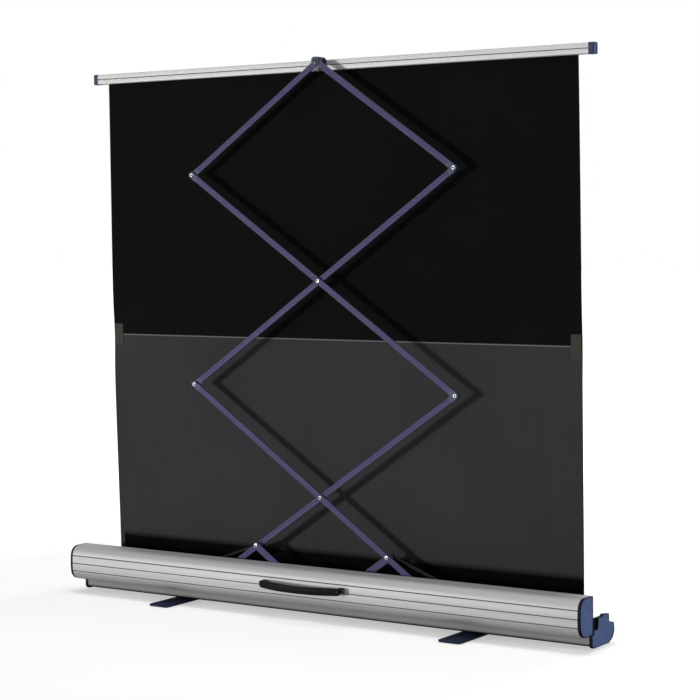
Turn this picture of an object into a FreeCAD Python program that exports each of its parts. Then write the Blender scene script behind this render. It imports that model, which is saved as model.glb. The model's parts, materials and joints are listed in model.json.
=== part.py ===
import FreeCAD, Part
import math
import os
import re

import Sketcher

# A portable projection screen that stands on the floor, seen from behind in its raised state.
# A long aluminium base trough lies on two swivelling feet. Its lid stands open on the rear side,
# a spring roller in the trough holds the cloth, and a scissor of flat tubes lifts the top bar.
# +X runs along the case, +Y points to the audience, +Z is up, and the floor is at zero.

os.makedirs("parts", exist_ok=True)

# Driving sizes in millimetres, and angles in degrees. Each one can be set by itself.
SIZES = [
    ("fabric_width", 1620, "width of the cloth"),
    ("case_margin", 62, "case's profiles outside the cloth, at each end"),
    ("cap_thickness", 9, "plastic caps at both ends of the case"),
    ("cap_drop", 4, "base caps below the trough's underside"),
    ("cap_rise", 6, "post of a base cap above the roller's end bracket"),
    ("base_depth", 129, "base trough, rear wall to audience side"),
    ("base_bottom", 10, "underside of the trough above the floor"),
    ("base_floor", 3, "thickness of the trough's floor"),
    ("base_wall", 2.5, "thickness of the trough's walls"),
    ("rear_wall_top", 44, "top of the rear wall above the floor"),
    ("beam_depth", 24, "hollow beam along the audience side"),
    ("beam_top", 58, "top of that beam above the floor"),
    ("base_rear_round", 12, "lower rear corner of the trough"),
    ("base_front_round", 18, "lower corner on the audience side"),
    ("beam_round", 3, "upper outer corner of the beam"),
    ("bead_radius", 3, "hinge bead on top of the rear wall"),
    ("bead_inset", 2, "bead's axis inside the rear wall's outer face"),
    ("bead_rise", 2.5, "bead's axis above the rear wall's top"),
    ("hook_clearance", 0.35, "between the bead and the lid's hook"),
    ("hook_wall", 1.85, "thickness of the lid's hook"),
    ("rib_width", 2, "guide ribs for the slider shoes"),
    ("rib_height", 7, "their height above the trough's floor"),
    ("lid_flat", 59.5, "open side of the lid behind the middle of the base"),
    ("lid_top", 147.5, "top of the standing lid"),
    ("lid_bottom", 43, "underside of the standing lid"),
    ("lid_depth", 75, "lid, open side to the crest of its face"),
    ("lid_wall", 2.5, "thickness of the lid"),
    ("lid_crown", 3.5, "crest of the lid's face over its corners"),
    ("lid_upper_round", 30, "upper corner of the lid"),
    ("lid_lower_round", 34, "lower corner of the lid"),
    ("lid_crest_round", 200, "round of the crest"),
    ("lid_lip", 6, "turned lip along the lid's free edge"),
    ("groove_width", 2.6, "lengthwise grooves in the lid's face"),
    ("groove_depth", 1.2, "their depth"),
    ("groove_pitch", 23.5, "from one groove to the next"),
    ("pivot_spacing", 550, "from an arm's middle pivot to its end pivot"),
    ("arm_angle", 34.56, "raised arms above the horizontal"),
    ("arm_width", 18, "flat tube of the arms, width"),
    ("arm_thickness", 6, "flat tube of the arms, thickness"),
    ("arm_wall", 1.2, "wall of that tube"),
    ("arm_gap", 1, "between the two layers of arms"),
    ("link_gap", 3, "between an arm layer and the link beside it"),
    ("link_width", 20, "short links at the base"),
    ("link_thickness", 4, "their thickness"),
    ("scissor_depth", 40, "middle of the scissor behind the middle of the base"),
    ("base_pivot_height", 35, "base pivot of the scissor above the floor"),
    ("pin_radius", 3, "rivets of the scissor"),
    ("link_pin_radius", 3.5, "pins that carry the gas springs"),
    ("collar_radius", 5, "collars on those pins"),
    ("head_radius", 5.5, "rivet heads"),
    ("head_height", 2, "their height"),
    ("flat_head_height", 1.5, "flat heads of the pins at the base"),
    ("side_play", 0.1, "play between a head and the arm"),
    ("running_fit", 0.05, "radial clearance of a pin in its bore"),
    ("open_fit", 0.3, "radial clearance where the linkage closes on itself"),
    ("seat", 0.3, "gap between seated pieces"),
    ("fitting_radius", 9.5, "round end of an arm's plastic fitting"),
    ("fitting_length", 24, "from the end pivot to the tube"),
    ("tongue_length", 22, "fitting's tongue inside the tube"),
    ("tongue_play", 0.1, "play of the tongue in the tube"),
    ("bracket_width", 80, "foot of the centre bracket"),
    ("bracket_foot", 4, "thickness of that foot"),
    ("screw_radius", 2.5, "small screws"),
    ("screw_head_radius", 4.5, "their heads"),
    ("screw_head_height", 2, "height of the heads"),
    ("shoe_length", 46, "plastic slider shoes"),
    ("shoe_height", 10, "their height"),
    ("ear_width", 16, "upright ear of a shoe"),
    ("anchor_inset", 212, "gas spring's lower pin from the end of the case"),
    ("anchor_height", 32, "that pin above the floor"),
    ("spring_depth", 19, "gas springs behind the middle of the base"),
    ("spring_radius", 7, "outer radius of a gas spring's cylinder"),
    ("spring_wall", 1.5, "its wall"),
    ("rod_radius", 4, "piston rod"),
    ("piston_length", 8, "piston"),
    ("eye_radius", 8, "flat eyes of the gas springs"),
    ("eye_thickness", 5, "their thickness"),
    ("eye_neck", 14, "from an eye's pivot to the cylinder or rod"),
    ("anchor_plate", 3, "thickness of the anchor brackets"),
    ("anchor_width", 36, "their width"),
    ("stud_radius", 3, "studs of the anchor brackets"),
    ("roller_depth", 9, "roller's axis on the audience side of the middle"),
    ("roller_height", 38, "roller's axis above the floor"),
    ("roller_radius", 16.5, "roller tube"),
    ("roller_wall", 1.2, "its wall"),
    ("roller_end_gap", 54, "from the roller's end to the end of the case"),
    ("plug_length", 24, "roller plugs inside the tube"),
    ("flange_length", 3, "flange of a roller plug"),
    ("journal_radius", 4, "roller's idle journal"),
    ("shaft_radius", 5, "fixed shaft of the roller spring"),
    ("shaft_length", 620, "length of that shaft"),
    ("winding_inner", 7.5, "roller spring, inner radius"),
    ("winding_outer", 11, "roller spring, outer radius"),
    ("winding_length", 480, "roller spring, length"),
    ("wound_thickness", 1.5, "cloth that stays on the roller"),
    ("end_bracket", 5, "thickness of the roller's end brackets"),
    ("end_bracket_top", 84, "their top above the floor"),
    ("fabric_thickness", 0.5, "thickness of the cloth"),
    ("seam_height", 799, "seam between the upper and the lower cloth"),
    ("tab_width", 31, "reinforcing tabs at the seam"),
    ("tab_height", 66, "their height"),
    ("tab_thickness", 0.8, "their thickness"),
    ("bar_margin", 34, "top bar's profile outside the cloth, at each end"),
    ("bar_depth", 24, "its depth"),
    ("bar_height", 30.5, "its height"),
    ("bar_forward", 3, "its middle on the audience side of the base's middle"),
    ("bar_drop", 23.5, "underside of the bar below the apex pivot"),
    ("bar_wall", 1.6, "its wall"),
    ("bar_round", 3, "its corners"),
    ("bar_groove", 2, "groove along the rear face"),
    ("bar_cap_length", 16, "caps at the ends of the bar"),
    ("bar_cap_overlap", 0.6, "cap outside the bar's outline"),
    ("slot_width", 3, "mouth of the cloth slot"),
    ("slot_lip", 2, "lips beside that mouth"),
    ("slot_room", 8, "square room above the mouth"),
    ("spline_radius", 2.6, "rod that holds the cloth in the slot"),
    ("apex_width", 24, "plastic bracket at the apex"),
    ("apex_top", 13.5, "its top above the apex pivot"),
    ("apex_cheek", 3, "its rear cheek"),
    ("apex_roof", 3, "its roof"),
    ("foot_inset", 368.3, "foot's pivot from the end of the case"),
    ("foot_length", 350, "feet, end to end"),
    ("foot_width", 72, "width of a foot"),
    ("foot_thickness", 5.5, "thickness of a foot's plate"),
    ("foot_round", 12, "corners of a foot"),
    ("pad_thickness", 1.5, "rubber pads under the feet"),
    ("pad_length", 26, "their length"),
    ("pad_inset", 6, "pads inside the outline of a foot"),
    ("foot_collar_radius", 20, "raised collar round the foot's pivot"),
    ("bolt_radius", 4, "pivot bolts of the feet"),
    ("bolt_head_radius", 8, "heads of those bolts"),
    ("bolt_head_height", 2.6, "height of those heads"),
    ("handle_span", 264, "between the two lugs of the handle"),
    ("handle_overhang", 9, "grip outside a lug's middle"),
    ("handle_height", 22, "height of the grip"),
    ("handle_thickness", 12, "thickness of the grip"),
    ("handle_bow", 22, "rise of the grip's bow"),
    ("handle_round", 5, "rounded edges of the grip"),
    ("handle_tilt", 7, "rest angle of the bow below the horizontal"),
    ("handle_pivot_height", 104, "handle's pivot above the floor"),
    ("handle_pivot_out", 6, "pivot outside the crest of the lid"),
    ("handle_setback", 13.5, "middle of the grip's ends outside the pivot"),
    ("lug_width", 8, "lugs of the handle"),
    ("lug_radius", 5, "round of a lug"),
    ("ear_thickness", 4, "ears of the handle brackets"),
    ("bracket_height", 14, "height of those brackets against the lid"),
    ("handle_pin_radius", 2.5, "pins of the handle"),
    ("overrun", 2, "cuts run past a face by this"),
]
ALIASES = {name for name, value, note in SIZES}

doc = FreeCAD.newDocument("projection_screen")
sheet = doc.addObject("Spreadsheet::Sheet", "Sizes")
for row, (name, value, note) in enumerate(SIZES, start=1):
    sheet.set("A%d" % row, name)
    sheet.set("B%d" % row, str(value))
    sheet.set("C%d" % row, note)
    sheet.setAlias("B%d" % row, name)
doc.recompute()

# Lengths that follow from the driving sizes, as text that every feature's expression can use.
DERIVED = {
    "case_length": "(fabric_width + 2 * case_margin)",
    "bar_length": "(fabric_width + 2 * bar_margin)",
    "anchor_reach": "(case_length / 2 - anchor_inset)",
    "foot_reach": "(case_length / 2 - foot_inset)",
    "reach": "(pivot_spacing * cos(arm_angle * 1 deg))",
    "lift": "(pivot_spacing * sin(arm_angle * 1 deg))",
    "floor_top": "(base_bottom + base_floor)",
    "bead_y": "(bead_inset - base_depth / 2)",
    "bead_z": "(rear_wall_top + bead_rise)",
    "crest_y": "(0 - lid_flat - lid_depth)",
    "layer_step": "((arm_thickness + arm_gap) / 2)",
    "front_layer": "(0 - scissor_depth - layer_step)",
    "back_layer": "(0 - scissor_depth + layer_step)",
    "link_step": "(arm_thickness + arm_gap / 2 + link_gap + link_thickness / 2)",
    "front_link": "(0 - scissor_depth - link_step)",
    "back_link": "(0 - scissor_depth + link_step)",
    "apex_z": "(base_pivot_height + 5 * lift)",
    "bar_bottom": "(apex_z - bar_drop)",
    "handle_y": "(crest_y - handle_pivot_out)",
    "wound_radius": "(roller_radius + wound_thickness)",
}

nodes = []
# Points nearer than this to each other are taken as one.
TOUCH = 0.01


def full(text):
    """Text with each derived length spelled out and each size written as the sheet's cell."""

    def spelled(match):
        word = match[0]
        if word in DERIVED:
            return full(DERIVED[word])
        return "Sizes." + word if word in ALIASES else word

    return re.sub(r"[a-z][a-z_]*", spelled, str(text))


def val(text):
    """Value of an expression as a plain number."""
    return float(sheet.evalExpression(full(text)))


def bind(thing, prop, text):
    thing.setExpression(prop, full(text))


def piece(label):
    """A body that becomes a node of its own."""
    body = doc.addObject("PartDesign::Body", label)
    body.Label = label
    nodes.append(body)
    return body


def master(label):
    """A body that is only copied into a group."""
    body = doc.addObject("PartDesign::Body", label)
    body.Label = label
    return body


def sketch(body, role, label):
    """An empty sketch on one of the body's own origin planes."""
    for feature in body.Origin.OriginFeatures:
        if feature.Role == role:
            plane = feature
    made = body.newObject("Sketcher::SketchObject", label)
    made.AttachmentSupport = [(plane, "")]
    made.MapMode = "FlatFace"
    return made


def loop(on, points):
    """A closed outline through points, each coordinate bound to its expression."""
    places = [(val(x), val(y)) for x, y in points]
    count = len(points)
    first = on.GeometryCount
    for index in range(count):
        x, y = places[index]
        end_x, end_y = places[(index + 1) % count]
        on.addGeometry(Part.LineSegment(FreeCAD.Vector(x, y, 0), FreeCAD.Vector(end_x, end_y, 0)), False)
    for index in range(count):
        following = first + (index + 1) % count
        on.addConstraint(Sketcher.Constraint("Coincident", first + index, 2, following, 1))
    for index, (x, y) in enumerate(points):
        for kind, text, value in (("DistanceX", x, places[index][0]), ("DistanceY", y, places[index][1])):
            number = on.addConstraint(Sketcher.Constraint(kind, -1, 1, first + index, 1, value))
            on.setExpression("Constraints[%d]" % number, full(text))


def box_loop(on, low_x, low_y, high_x, high_y):
    loop(on, [(low_x, low_y), (high_x, low_y), (high_x, high_y), (low_x, high_y)])


def circle(on, x, y, radius):
    """A circle whose centre and radius are bound to expressions."""
    centre = FreeCAD.Vector(val(x), val(y), 0)
    number = on.addGeometry(Part.Circle(centre, FreeCAD.Vector(0, 0, 1), val(radius)), False)
    for kind, text, value in (("DistanceX", x, centre.x), ("DistanceY", y, centre.y)):
        bound = on.addConstraint(Sketcher.Constraint(kind, -1, 1, number, 3, value))
        on.setExpression("Constraints[%d]" % bound, full(text))
    bound = on.addConstraint(Sketcher.Constraint("Radius", number, val(radius)))
    on.setExpression("Constraints[%d]" % bound, full(radius))


def pad(body, profile, length, middle=False, reverse=False):
    made = body.newObject("PartDesign::Pad", profile.Label + "_pad")
    made.Profile = profile
    bind(made, "Length", length)
    made.Midplane = middle
    made.Reversed = reverse
    doc.recompute()
    return made


def pocket(body, profile, length, middle=True, reverse=False):
    """A cut of a given length, which has to take something away."""
    before = body.Shape.Volume
    made = body.newObject("PartDesign::Pocket", profile.Label + "_cut")
    made.Profile = profile
    bind(made, "Length", length)
    made.Midplane = middle
    made.Reversed = reverse
    doc.recompute()
    if not body.Shape.Volume < before:
        raise ValueError("%s cuts nothing" % profile.Label)
    return made


def revolve(body, profile, axis="V_Axis"):
    made = body.newObject("PartDesign::Revolution", profile.Label + "_turn")
    made.Profile = profile
    made.ReferenceAxis = (profile, [axis])
    made.Angle = 360
    doc.recompute()
    return made


def round_edges(body, radius, wanted):
    """Rounds the edges of the body's last feature for which wanted(edge) is true."""
    base = body.Tip
    names = []
    for number, edge in enumerate(base.Shape.Edges, start=1):
        if wanted(edge):
            names.append("Edge%d" % number)
    if not names:
        raise ValueError("no edge to round on %s" % body.Label)
    made = body.newObject("PartDesign::Fillet", body.Label + "_round")
    made.Base = (base, names)
    bind(made, "Radius", radius)
    doc.recompute()
    return made


def lengthwise_at(y, z):
    """Picks edges along X that pass through one corner of a section."""
    corner_y = val(y)
    corner_z = val(z)

    def wanted(edge):
        ends = [vertex.Point for vertex in edge.Vertexes]
        if len(ends) != 2 or abs(ends[0].x - ends[1].x) < TOUCH:
            return False
        return all(math.hypot(p.y - corner_y, p.z - corner_z) < TOUCH for p in ends)

    return wanted


def place(thing, x="0", y="0", z="0", axis=None, angle="0"):
    """Puts a piece at its place, turned about an axis by an angle in degrees."""
    if axis is not None:
        thing.Placement = FreeCAD.Placement(FreeCAD.Vector(0, 0, 0), FreeCAD.Rotation(axis, val(angle)))
        bind(thing, "Placement.Rotation.Angle", angle)
    bind(thing, "Placement.Base.x", x)
    bind(thing, "Placement.Base.y", y)
    bind(thing, "Placement.Base.z", z)
    doc.recompute()


def group(label, one, placements):
    """One node of equal pieces, as separate solids."""
    made = doc.addObject("Part::Feature", label)
    made.Label = label
    shape = Part.Shape(one.Shape)
    shape.Placement = FreeCAD.Placement()
    made.Shape = Part.makeCompound([shape.transformed(p.toMatrix()) for p in placements])
    nodes.append(made)
    return made


def turned(label, steps, start, single=True):
    """A turned pin along the local Z axis: steps of (radius, length), from start upwards."""
    body = piece(label) if single else master(label)
    profile = sketch(body, "XZ_Plane", label + "_profile")
    points = [("0", start)]
    height = start
    for radius, length in steps:
        points.append((radius, height))
        height = "%s + %s" % (height, length)
        points.append((radius, height))
    points.append(("0", height))
    kept = [points[0]]
    for point in points[1:]:
        across = val(point[0]) - val(kept[-1][0])
        along = val(point[1]) - val(kept[-1][1])
        if math.hypot(across, along) > TOUCH:
            kept.append(point)
    loop(profile, kept)
    revolve(body, profile)
    return body


X_AXIS = FreeCAD.Vector(1, 0, 0)
Y_AXIS = FreeCAD.Vector(0, 1, 0)
Z_AXIS = FreeCAD.Vector(0, 0, 1)


def make_base_trough():
    """U-shaped extrusion with a hollow beam on the audience side and a hinge bead at the rear."""
    body = piece("base_trough")
    section = sketch(body, "YZ_Plane", "trough_section")
    rear = "0 - base_depth / 2"
    front = "base_depth / 2"
    beam_rear = "base_depth / 2 - beam_depth"
    loop(section, [
        (rear, "base_bottom"),
        (front, "base_bottom"),
        (front, "beam_top"),
        (beam_rear, "beam_top"),
        (beam_rear, "floor_top"),
        (rear + " + base_wall", "floor_top"),
        (rear + " + base_wall", "rear_wall_top"),
        (rear, "rear_wall_top"),
    ])
    pad(body, section, "case_length", middle=True)
    round_edges(body, "base_rear_round", lengthwise_at(rear, "base_bottom"))
    inner_corner = lengthwise_at(rear + " + base_wall", "floor_top")
    round_edges(body, "base_rear_round - base_floor", inner_corner)
    round_edges(body, "base_front_round", lengthwise_at(front, "base_bottom"))
    round_edges(body, "beam_round", lengthwise_at(front, "beam_top"))
    hollow = sketch(body, "YZ_Plane", "beam_hollow")
    inner_low = "base_bottom + base_wall"
    loop(hollow, [
        (beam_rear + " + base_wall", inner_low),
        (front + " - base_front_round", inner_low),
        (front + " - base_wall", "base_bottom + base_front_round"),
        (front + " - base_wall", "beam_top - base_wall"),
        (beam_rear + " + base_wall", "beam_top - base_wall"),
    ])
    pocket(body, hollow, "case_length + 2 * overrun")
    bead = sketch(body, "YZ_Plane", "hinge_bead")
    circle(bead, "bead_y", "bead_z", "bead_radius")
    pad(body, bead, "case_length", middle=True)
    ribs = sketch(body, "YZ_Plane", "guide_ribs")
    outer_rib = "0 - scissor_depth - arm_thickness - arm_gap / 2 - link_gap"
    inner_rib = "0 - scissor_depth + arm_thickness + arm_gap / 2 + link_gap"
    low = "base_bottom + base_floor / 2"
    high = "floor_top + rib_height"
    box_loop(ribs, outer_rib + " - rib_width", low, outer_rib, high)
    box_loop(ribs, inner_rib, low, inner_rib + " + rib_width", high)
    pad(body, ribs, "case_length", middle=True)
    holes = sketch(body, "XY_Plane", "foot_bolt_holes")
    circle(holes, "foot_reach", "0", "bolt_radius + running_fit")
    circle(holes, "0 - foot_reach", "0", "bolt_radius + running_fit")
    pocket(body, holes, "2 * (base_bottom + base_floor + overrun)")


# Corners of the base cap in the end view, as shares of the base's depth from its middle and of
# the post's height, starting at the low rear corner and going round by the audience side.
CAP_CORNER_SHARES = [
    (-0.515, 0.09), (-0.45, 0.0), (0.27, 0.0), (0.44, 0.13), (0.515, 0.33), (0.49, 0.62), (0.34, 0.665),
    (0.27, 0.715), (0.262, 0.955), (0.0, 1.0), (-0.05, 0.93), (-0.235, 0.93), (-0.25, 0.585),
    (-0.43, 0.585),
]
# The cap's rear shoulder, which the open lid rests on, as shares of the base's depth.
CAP_SHOULDER_SHARES = (-0.445, -0.515)


def make_base_caps():
    """Plastic end caps of the base, with the raised post that guards the roller and the bar."""
    for side, label in ((-1, "base_cap_left"), (1, "base_cap_right")):
        body = piece(label)
        outline = sketch(body, "YZ_Plane", label + "_outline")
        low = "(base_bottom - cap_drop)"
        rise = "(end_bracket_top + cap_rise - %s)" % low
        corners = [("%g * base_depth" % y, "%s + %g * %s" % (low, z, rise)) for y, z in CAP_CORNER_SHARES]
        corners += [("%g * base_depth" % y, "lid_bottom - seat") for y in CAP_SHOULDER_SHARES]
        loop(outline, corners)
        pad(body, outline, "cap_thickness", reverse=side < 0)
        outer_x = side * val("cap_thickness")

        def outer_rim(edge):
            return all(abs(vertex.Point.x - outer_x) < TOUCH for vertex in edge.Vertexes)

        round_edges(body, "cap_thickness / 6", outer_rim)
        place(body, x="%d * case_length / 2" % side)


def make_end_brackets():
    """Black plates inside the caps that carry the roller."""
    for side, label in ((-1, "roller_bracket_left"), (1, "roller_bracket_right")):
        body = piece(label)
        outline = sketch(body, "YZ_Plane", label + "_outline")
        rear = "0 - scissor_depth - fitting_radius - link_thickness"
        front = "base_depth / 2 - beam_depth - seat"
        low = "floor_top + rib_height + seat"
        loop(outline, [
            (rear, low),
            (front, low),
            (front, "beam_top"),
            (front + " - journal_radius", "end_bracket_top"),
            (rear + " + journal_radius", "end_bracket_top"),
            (rear, "end_bracket_top - journal_radius"),
        ])
        pad(body, outline, "end_bracket", reverse=side > 0)
        feet = sketch(body, "YZ_Plane", label + "_foot")
        inner_rib = "0 - scissor_depth + arm_thickness + arm_gap / 2 + link_gap + rib_width"
        box_loop(feet, inner_rib + " + seat", "floor_top", front, low)
        pad(body, feet, "end_bracket", reverse=side > 0)
        bore = sketch(body, "YZ_Plane", label + "_bore")
        radius = "journal_radius + running_fit" if side > 0 else "shaft_radius"
        circle(bore, "roller_depth", "roller_height", radius)
        pocket(body, bore, "2 * end_bracket + 2 * overrun")
        place(body, x="%d * case_length / 2" % side)


def make_centre_bracket():
    """Block on the trough's floor that carries the scissor's base pivot, with its screws."""
    body = piece("centre_bracket")
    outline = sketch(body, "XZ_Plane", "centre_bracket_outline")
    half = "(bracket_width / 2)"
    top = "floor_top + bracket_foot"
    loop(outline, [
        ("0 - " + half, "floor_top"),
        (half, "floor_top"),
        (half, top),
        (half + " / 2", top),
        ("collar_radius", "base_pivot_height"),
        ("0 - collar_radius", "base_pivot_height"),
        ("0 - %s / 2" % half, top),
        ("0 - " + half, top),
    ])
    thickness = "2 * arm_thickness + arm_gap + 2 * link_gap - 2 * side_play"
    pad(body, outline, thickness, middle=True)
    nose = sketch(body, "XZ_Plane", "centre_bracket_nose")
    circle(nose, "0", "base_pivot_height", "collar_radius")
    pad(body, nose, thickness, middle=True)
    bores = sketch(body, "XZ_Plane", "centre_bracket_bore")
    circle(bores, "0", "base_pivot_height", "pin_radius")
    pocket(body, bores, thickness + " + 2 * overrun")
    holes = sketch(body, "XY_Plane", "centre_bracket_holes")
    for sign in ("", "0 - "):
        circle(holes, sign + "0.75 * (bracket_width / 2)", "0", "screw_radius")
    pocket(body, holes, "2 * (%s) + 2 * overrun" % top)
    place(body, y="0 - scissor_depth")

    steps = [("screw_radius", "bracket_foot"), ("screw_head_radius", "screw_head_height")]
    screw = turned("centre_screw", steps, "0", single=False)
    spots = []
    screw_reach = val("0.75 * (bracket_width / 2)")
    for sign in (-1, 1):
        spot = FreeCAD.Vector(sign * screw_reach, -val("scissor_depth"), val("floor_top"))
        spots.append(FreeCAD.Placement(spot, FreeCAD.Rotation()))
    group("centre_bracket_screws", screw, spots)


def cross_pin(label, x, z, front, steps):
    """A pin along Y. It starts at the rear at front, and its steps run towards the audience."""
    pin = turned(label, steps, "0")
    place(pin, x=x, y=front, z=z, axis=X_AXIS, angle="0 - 90")
    return pin


def make_base_pivot_pin():
    front = "front_link - link_thickness / 2 - side_play - flat_head_height"
    across = "2 * link_step + link_thickness + 2 * side_play"
    cross_pin("base_pivot_pin", "0", "base_pivot_height", front, [
        ("head_radius", "flat_head_height"),
        ("pin_radius", across),
        ("head_radius", "flat_head_height"),
    ])


def make_links():
    """The two short links between the base pivot and the lower arms, with their pins."""
    half_link = "pivot_spacing / 2"
    for label, layer, side in (("link_front", "front_link", -1), ("link_back", "back_link", 1)):
        body = piece(label)
        outline = sketch(body, "XZ_Plane", label + "_outline")
        box_loop(outline, "0", "0 - link_width / 2", half_link, "link_width / 2")
        pad(body, outline, "link_thickness", middle=True)
        for index, centre in enumerate(("0", half_link)):
            end = sketch(body, "XZ_Plane", "%s_end_%d" % (label, index))
            circle(end, centre, "0", "link_width / 2")
            pad(body, end, "link_thickness", middle=True)
        bores = sketch(body, "XZ_Plane", label + "_bores")
        circle(bores, "0", "0", "pin_radius + running_fit")
        circle(bores, half_link, "0", "link_pin_radius")
        pocket(body, bores, "link_thickness + 2 * overrun")
        angle = "0 - arm_angle" if side > 0 else "180 + arm_angle"
        place(body, y=layer, z="base_pivot_height", axis=Y_AXIS, angle=angle)

    eye_front = "0 - spring_depth - eye_thickness / 2 - side_play"
    front_head = "front_link - link_thickness / 2 - side_play - flat_head_height"
    link_back_face = "front_link + link_thickness / 2 + side_play"
    arm_front = "back_layer - arm_thickness / 2 - side_play"
    arm_back = "back_layer + arm_thickness / 2 + side_play"
    tail = [("link_pin_radius", "eye_thickness + 2 * side_play"), ("head_radius", "flat_head_height")]
    cross_pin("link_front_pin", "0 - reach / 2", "base_pivot_height + lift / 2", front_head, [
        ("head_radius", "flat_head_height"),
        ("link_pin_radius", "link_thickness + 2 * side_play"),
        ("collar_radius", "(%s) - (%s)" % (arm_front, link_back_face)),
        ("link_pin_radius", "arm_thickness + 2 * side_play"),
        ("collar_radius", "(%s) - (%s)" % (eye_front, arm_back)),
    ] + tail)

    arm_head = "front_layer - arm_thickness / 2 - side_play - head_height"
    arm_back = "front_layer + arm_thickness / 2 + side_play"
    link_front_face = "back_link - link_thickness / 2 - side_play"
    link_back_face = "back_link + link_thickness / 2 + side_play"
    cross_pin("link_back_pin", "reach / 2", "base_pivot_height + lift / 2", arm_head, [
        ("head_radius", "head_height"),
        ("link_pin_radius", "arm_thickness + 2 * side_play"),
        ("collar_radius", "(%s) - (%s)" % (link_front_face, arm_back)),
        ("link_pin_radius", "link_thickness + 2 * side_play"),
        ("collar_radius", "(%s) - (%s)" % (eye_front, link_back_face)),
    ] + tail)


# Arms of the scissor: name, layer, pivots each side of the middle, middle's place in reaches and
# lifts, lean (1 falls towards +X, -1 rises), and extra pivots as (share of a half arm, pin, fit).
ARM_SHARES = [
    ("lower_arm_front", "front_layer", 1.0, 0.0, 1.0, 1,
     [(0.0, "pin_radius", "0"), (0.5, "link_pin_radius", "open_fit")]),
    ("lower_arm_back", "back_layer", 1.0, 0.0, 1.0, -1,
     [(0.0, "pin_radius", "running_fit"), (-0.5, "link_pin_radius", "running_fit")]),
    ("upper_arm_front", "front_layer", 1.0, 0.0, 3.0, 1, [(0.0, "pin_radius", "0")]),
    ("upper_arm_back", "back_layer", 1.0, 0.0, 3.0, -1, [(0.0, "pin_radius", "open_fit")]),
    ("top_arm_front", "front_layer", 0.5, 0.5, 4.5, 1, []),
    ("top_arm_back", "back_layer", 0.5, -0.5, 4.5, -1, []),
]
# Clearance of the bores in each arm's two end fittings, left end first. A pin sits fast in the
# arm that carries it, and the front upper arm's apex bore is open where the linkage closes.
END_FITS = {
    "lower_arm_front": ("0", "running_fit"),
    "lower_arm_back": ("running_fit", "running_fit"),
    "upper_arm_front": ("0", "0"),
    "upper_arm_back": ("running_fit", "0"),
    "top_arm_front": ("open_fit", "running_fit"),
    "top_arm_back": ("running_fit", "running_fit"),
}


def make_arms():
    for label, layer, share, reaches, lifts, lean, extra in ARM_SHARES:
        half = "%g * pivot_spacing" % share
        body = piece(label)
        section = sketch(body, "YZ_Plane", label + "_section")
        outer = ("arm_thickness / 2", "arm_width / 2")
        inner = ("(arm_thickness / 2 - arm_wall)", "(arm_width / 2 - arm_wall)")
        for y, z in (outer, inner):
            box_loop(section, "0 - " + y, "0 - " + z, y, z)
        pad(body, section, "2 * (%s - fitting_length)" % half, middle=True)
        for index, (place_share, pin, fit) in enumerate(extra):
            bore = sketch(body, "XZ_Plane", "%s_bore_%d" % (label, index))
            circle(bore, "%g * pivot_spacing" % place_share, "0", "%s + %s" % (pin, fit))
            pocket(body, bore, "arm_thickness + 2 * overrun")
        x = "%g * reach" % reaches
        z = "base_pivot_height + %g * lift" % lifts
        place(body, x=x, y=layer, z=z, axis=Y_AXIS, angle="%d * arm_angle" % lean)

        ends = []
        for index, fit in enumerate(END_FITS[label]):
            ends.append(make_fitting("%s_fitting_%d" % (label, index), fit))
        fittings = doc.addObject("Part::Feature", label + "_fittings")
        fittings.Label = label + "_fittings"
        shapes = []
        for sign, end in ((-1, ends[0]), (1, ends[1])):
            spin = FreeCAD.Rotation(Y_AXIS, 0 if sign < 0 else 180)
            local = FreeCAD.Placement(FreeCAD.Vector(sign * val(half), 0, 0), spin)
            shapes.append(end.Shape.transformed(local.toMatrix()))
        fittings.Shape = Part.makeCompound(shapes)
        place(fittings, x=x, y=layer, z=z, axis=Y_AXIS, angle="%d * arm_angle" % lean)
        nodes.append(fittings)


def make_fitting(label, fit):
    """Plastic end of an arm: round nose on the pivot, neck as thick as the tube, tongue inside it."""
    body = master(label)
    nose = sketch(body, "XZ_Plane", label + "_nose")
    circle(nose, "0", "0", "fitting_radius")
    pad(body, nose, "arm_thickness", middle=True)
    neck = sketch(body, "XZ_Plane", label + "_neck")
    box_loop(neck, "0", "0 - arm_width / 2", "fitting_length", "arm_width / 2")
    pad(body, neck, "arm_thickness", middle=True)
    tongue = sketch(body, "XZ_Plane", label + "_tongue")
    half = "(arm_width / 2 - arm_wall - tongue_play)"
    box_loop(tongue, "fitting_length - overrun", "0 - " + half, "fitting_length + tongue_length", half)
    pad(body, tongue, "arm_thickness - 2 * arm_wall - 2 * tongue_play", middle=True)
    bore = sketch(body, "XZ_Plane", label + "_bore")
    circle(bore, "0", "0", "pin_radius + " + fit)
    pocket(body, bore, "arm_thickness + 2 * overrun")
    return body


# Each arm's rivets, as shares of an arm's reach and lift from the base pivot.
RIVET_SHARES = {
    "lower_arm_front_rivets": [(0, 1), (-1, 2)],
    "upper_arm_front_rivets": [(1, 2), (0, 3), (-1, 4)],
    "upper_arm_back_rivet": [(1, 4)],
}


def make_rivets():
    """Rivets through the two layers of arms, each in the node of the arm that carries it."""
    across = "2 * arm_thickness + arm_gap + 2 * side_play"
    steps = [("head_radius", "head_height"), ("pin_radius", across), ("head_radius", "head_height")]
    rivet = turned("rivet", steps, "0", single=False)
    front = val("front_layer - arm_thickness / 2 - side_play - head_height")
    spin = FreeCAD.Rotation(X_AXIS, -90)
    reach = val("reach")
    lift = val("lift")
    pivot = val("base_pivot_height")
    for label, spots in RIVET_SHARES.items():
        made = []
        for reaches, lifts in spots:
            spot = FreeCAD.Vector(reaches * reach, front, pivot + lifts * lift)
            made.append(FreeCAD.Placement(spot, spin))
        group(label, rivet, made)


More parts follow.
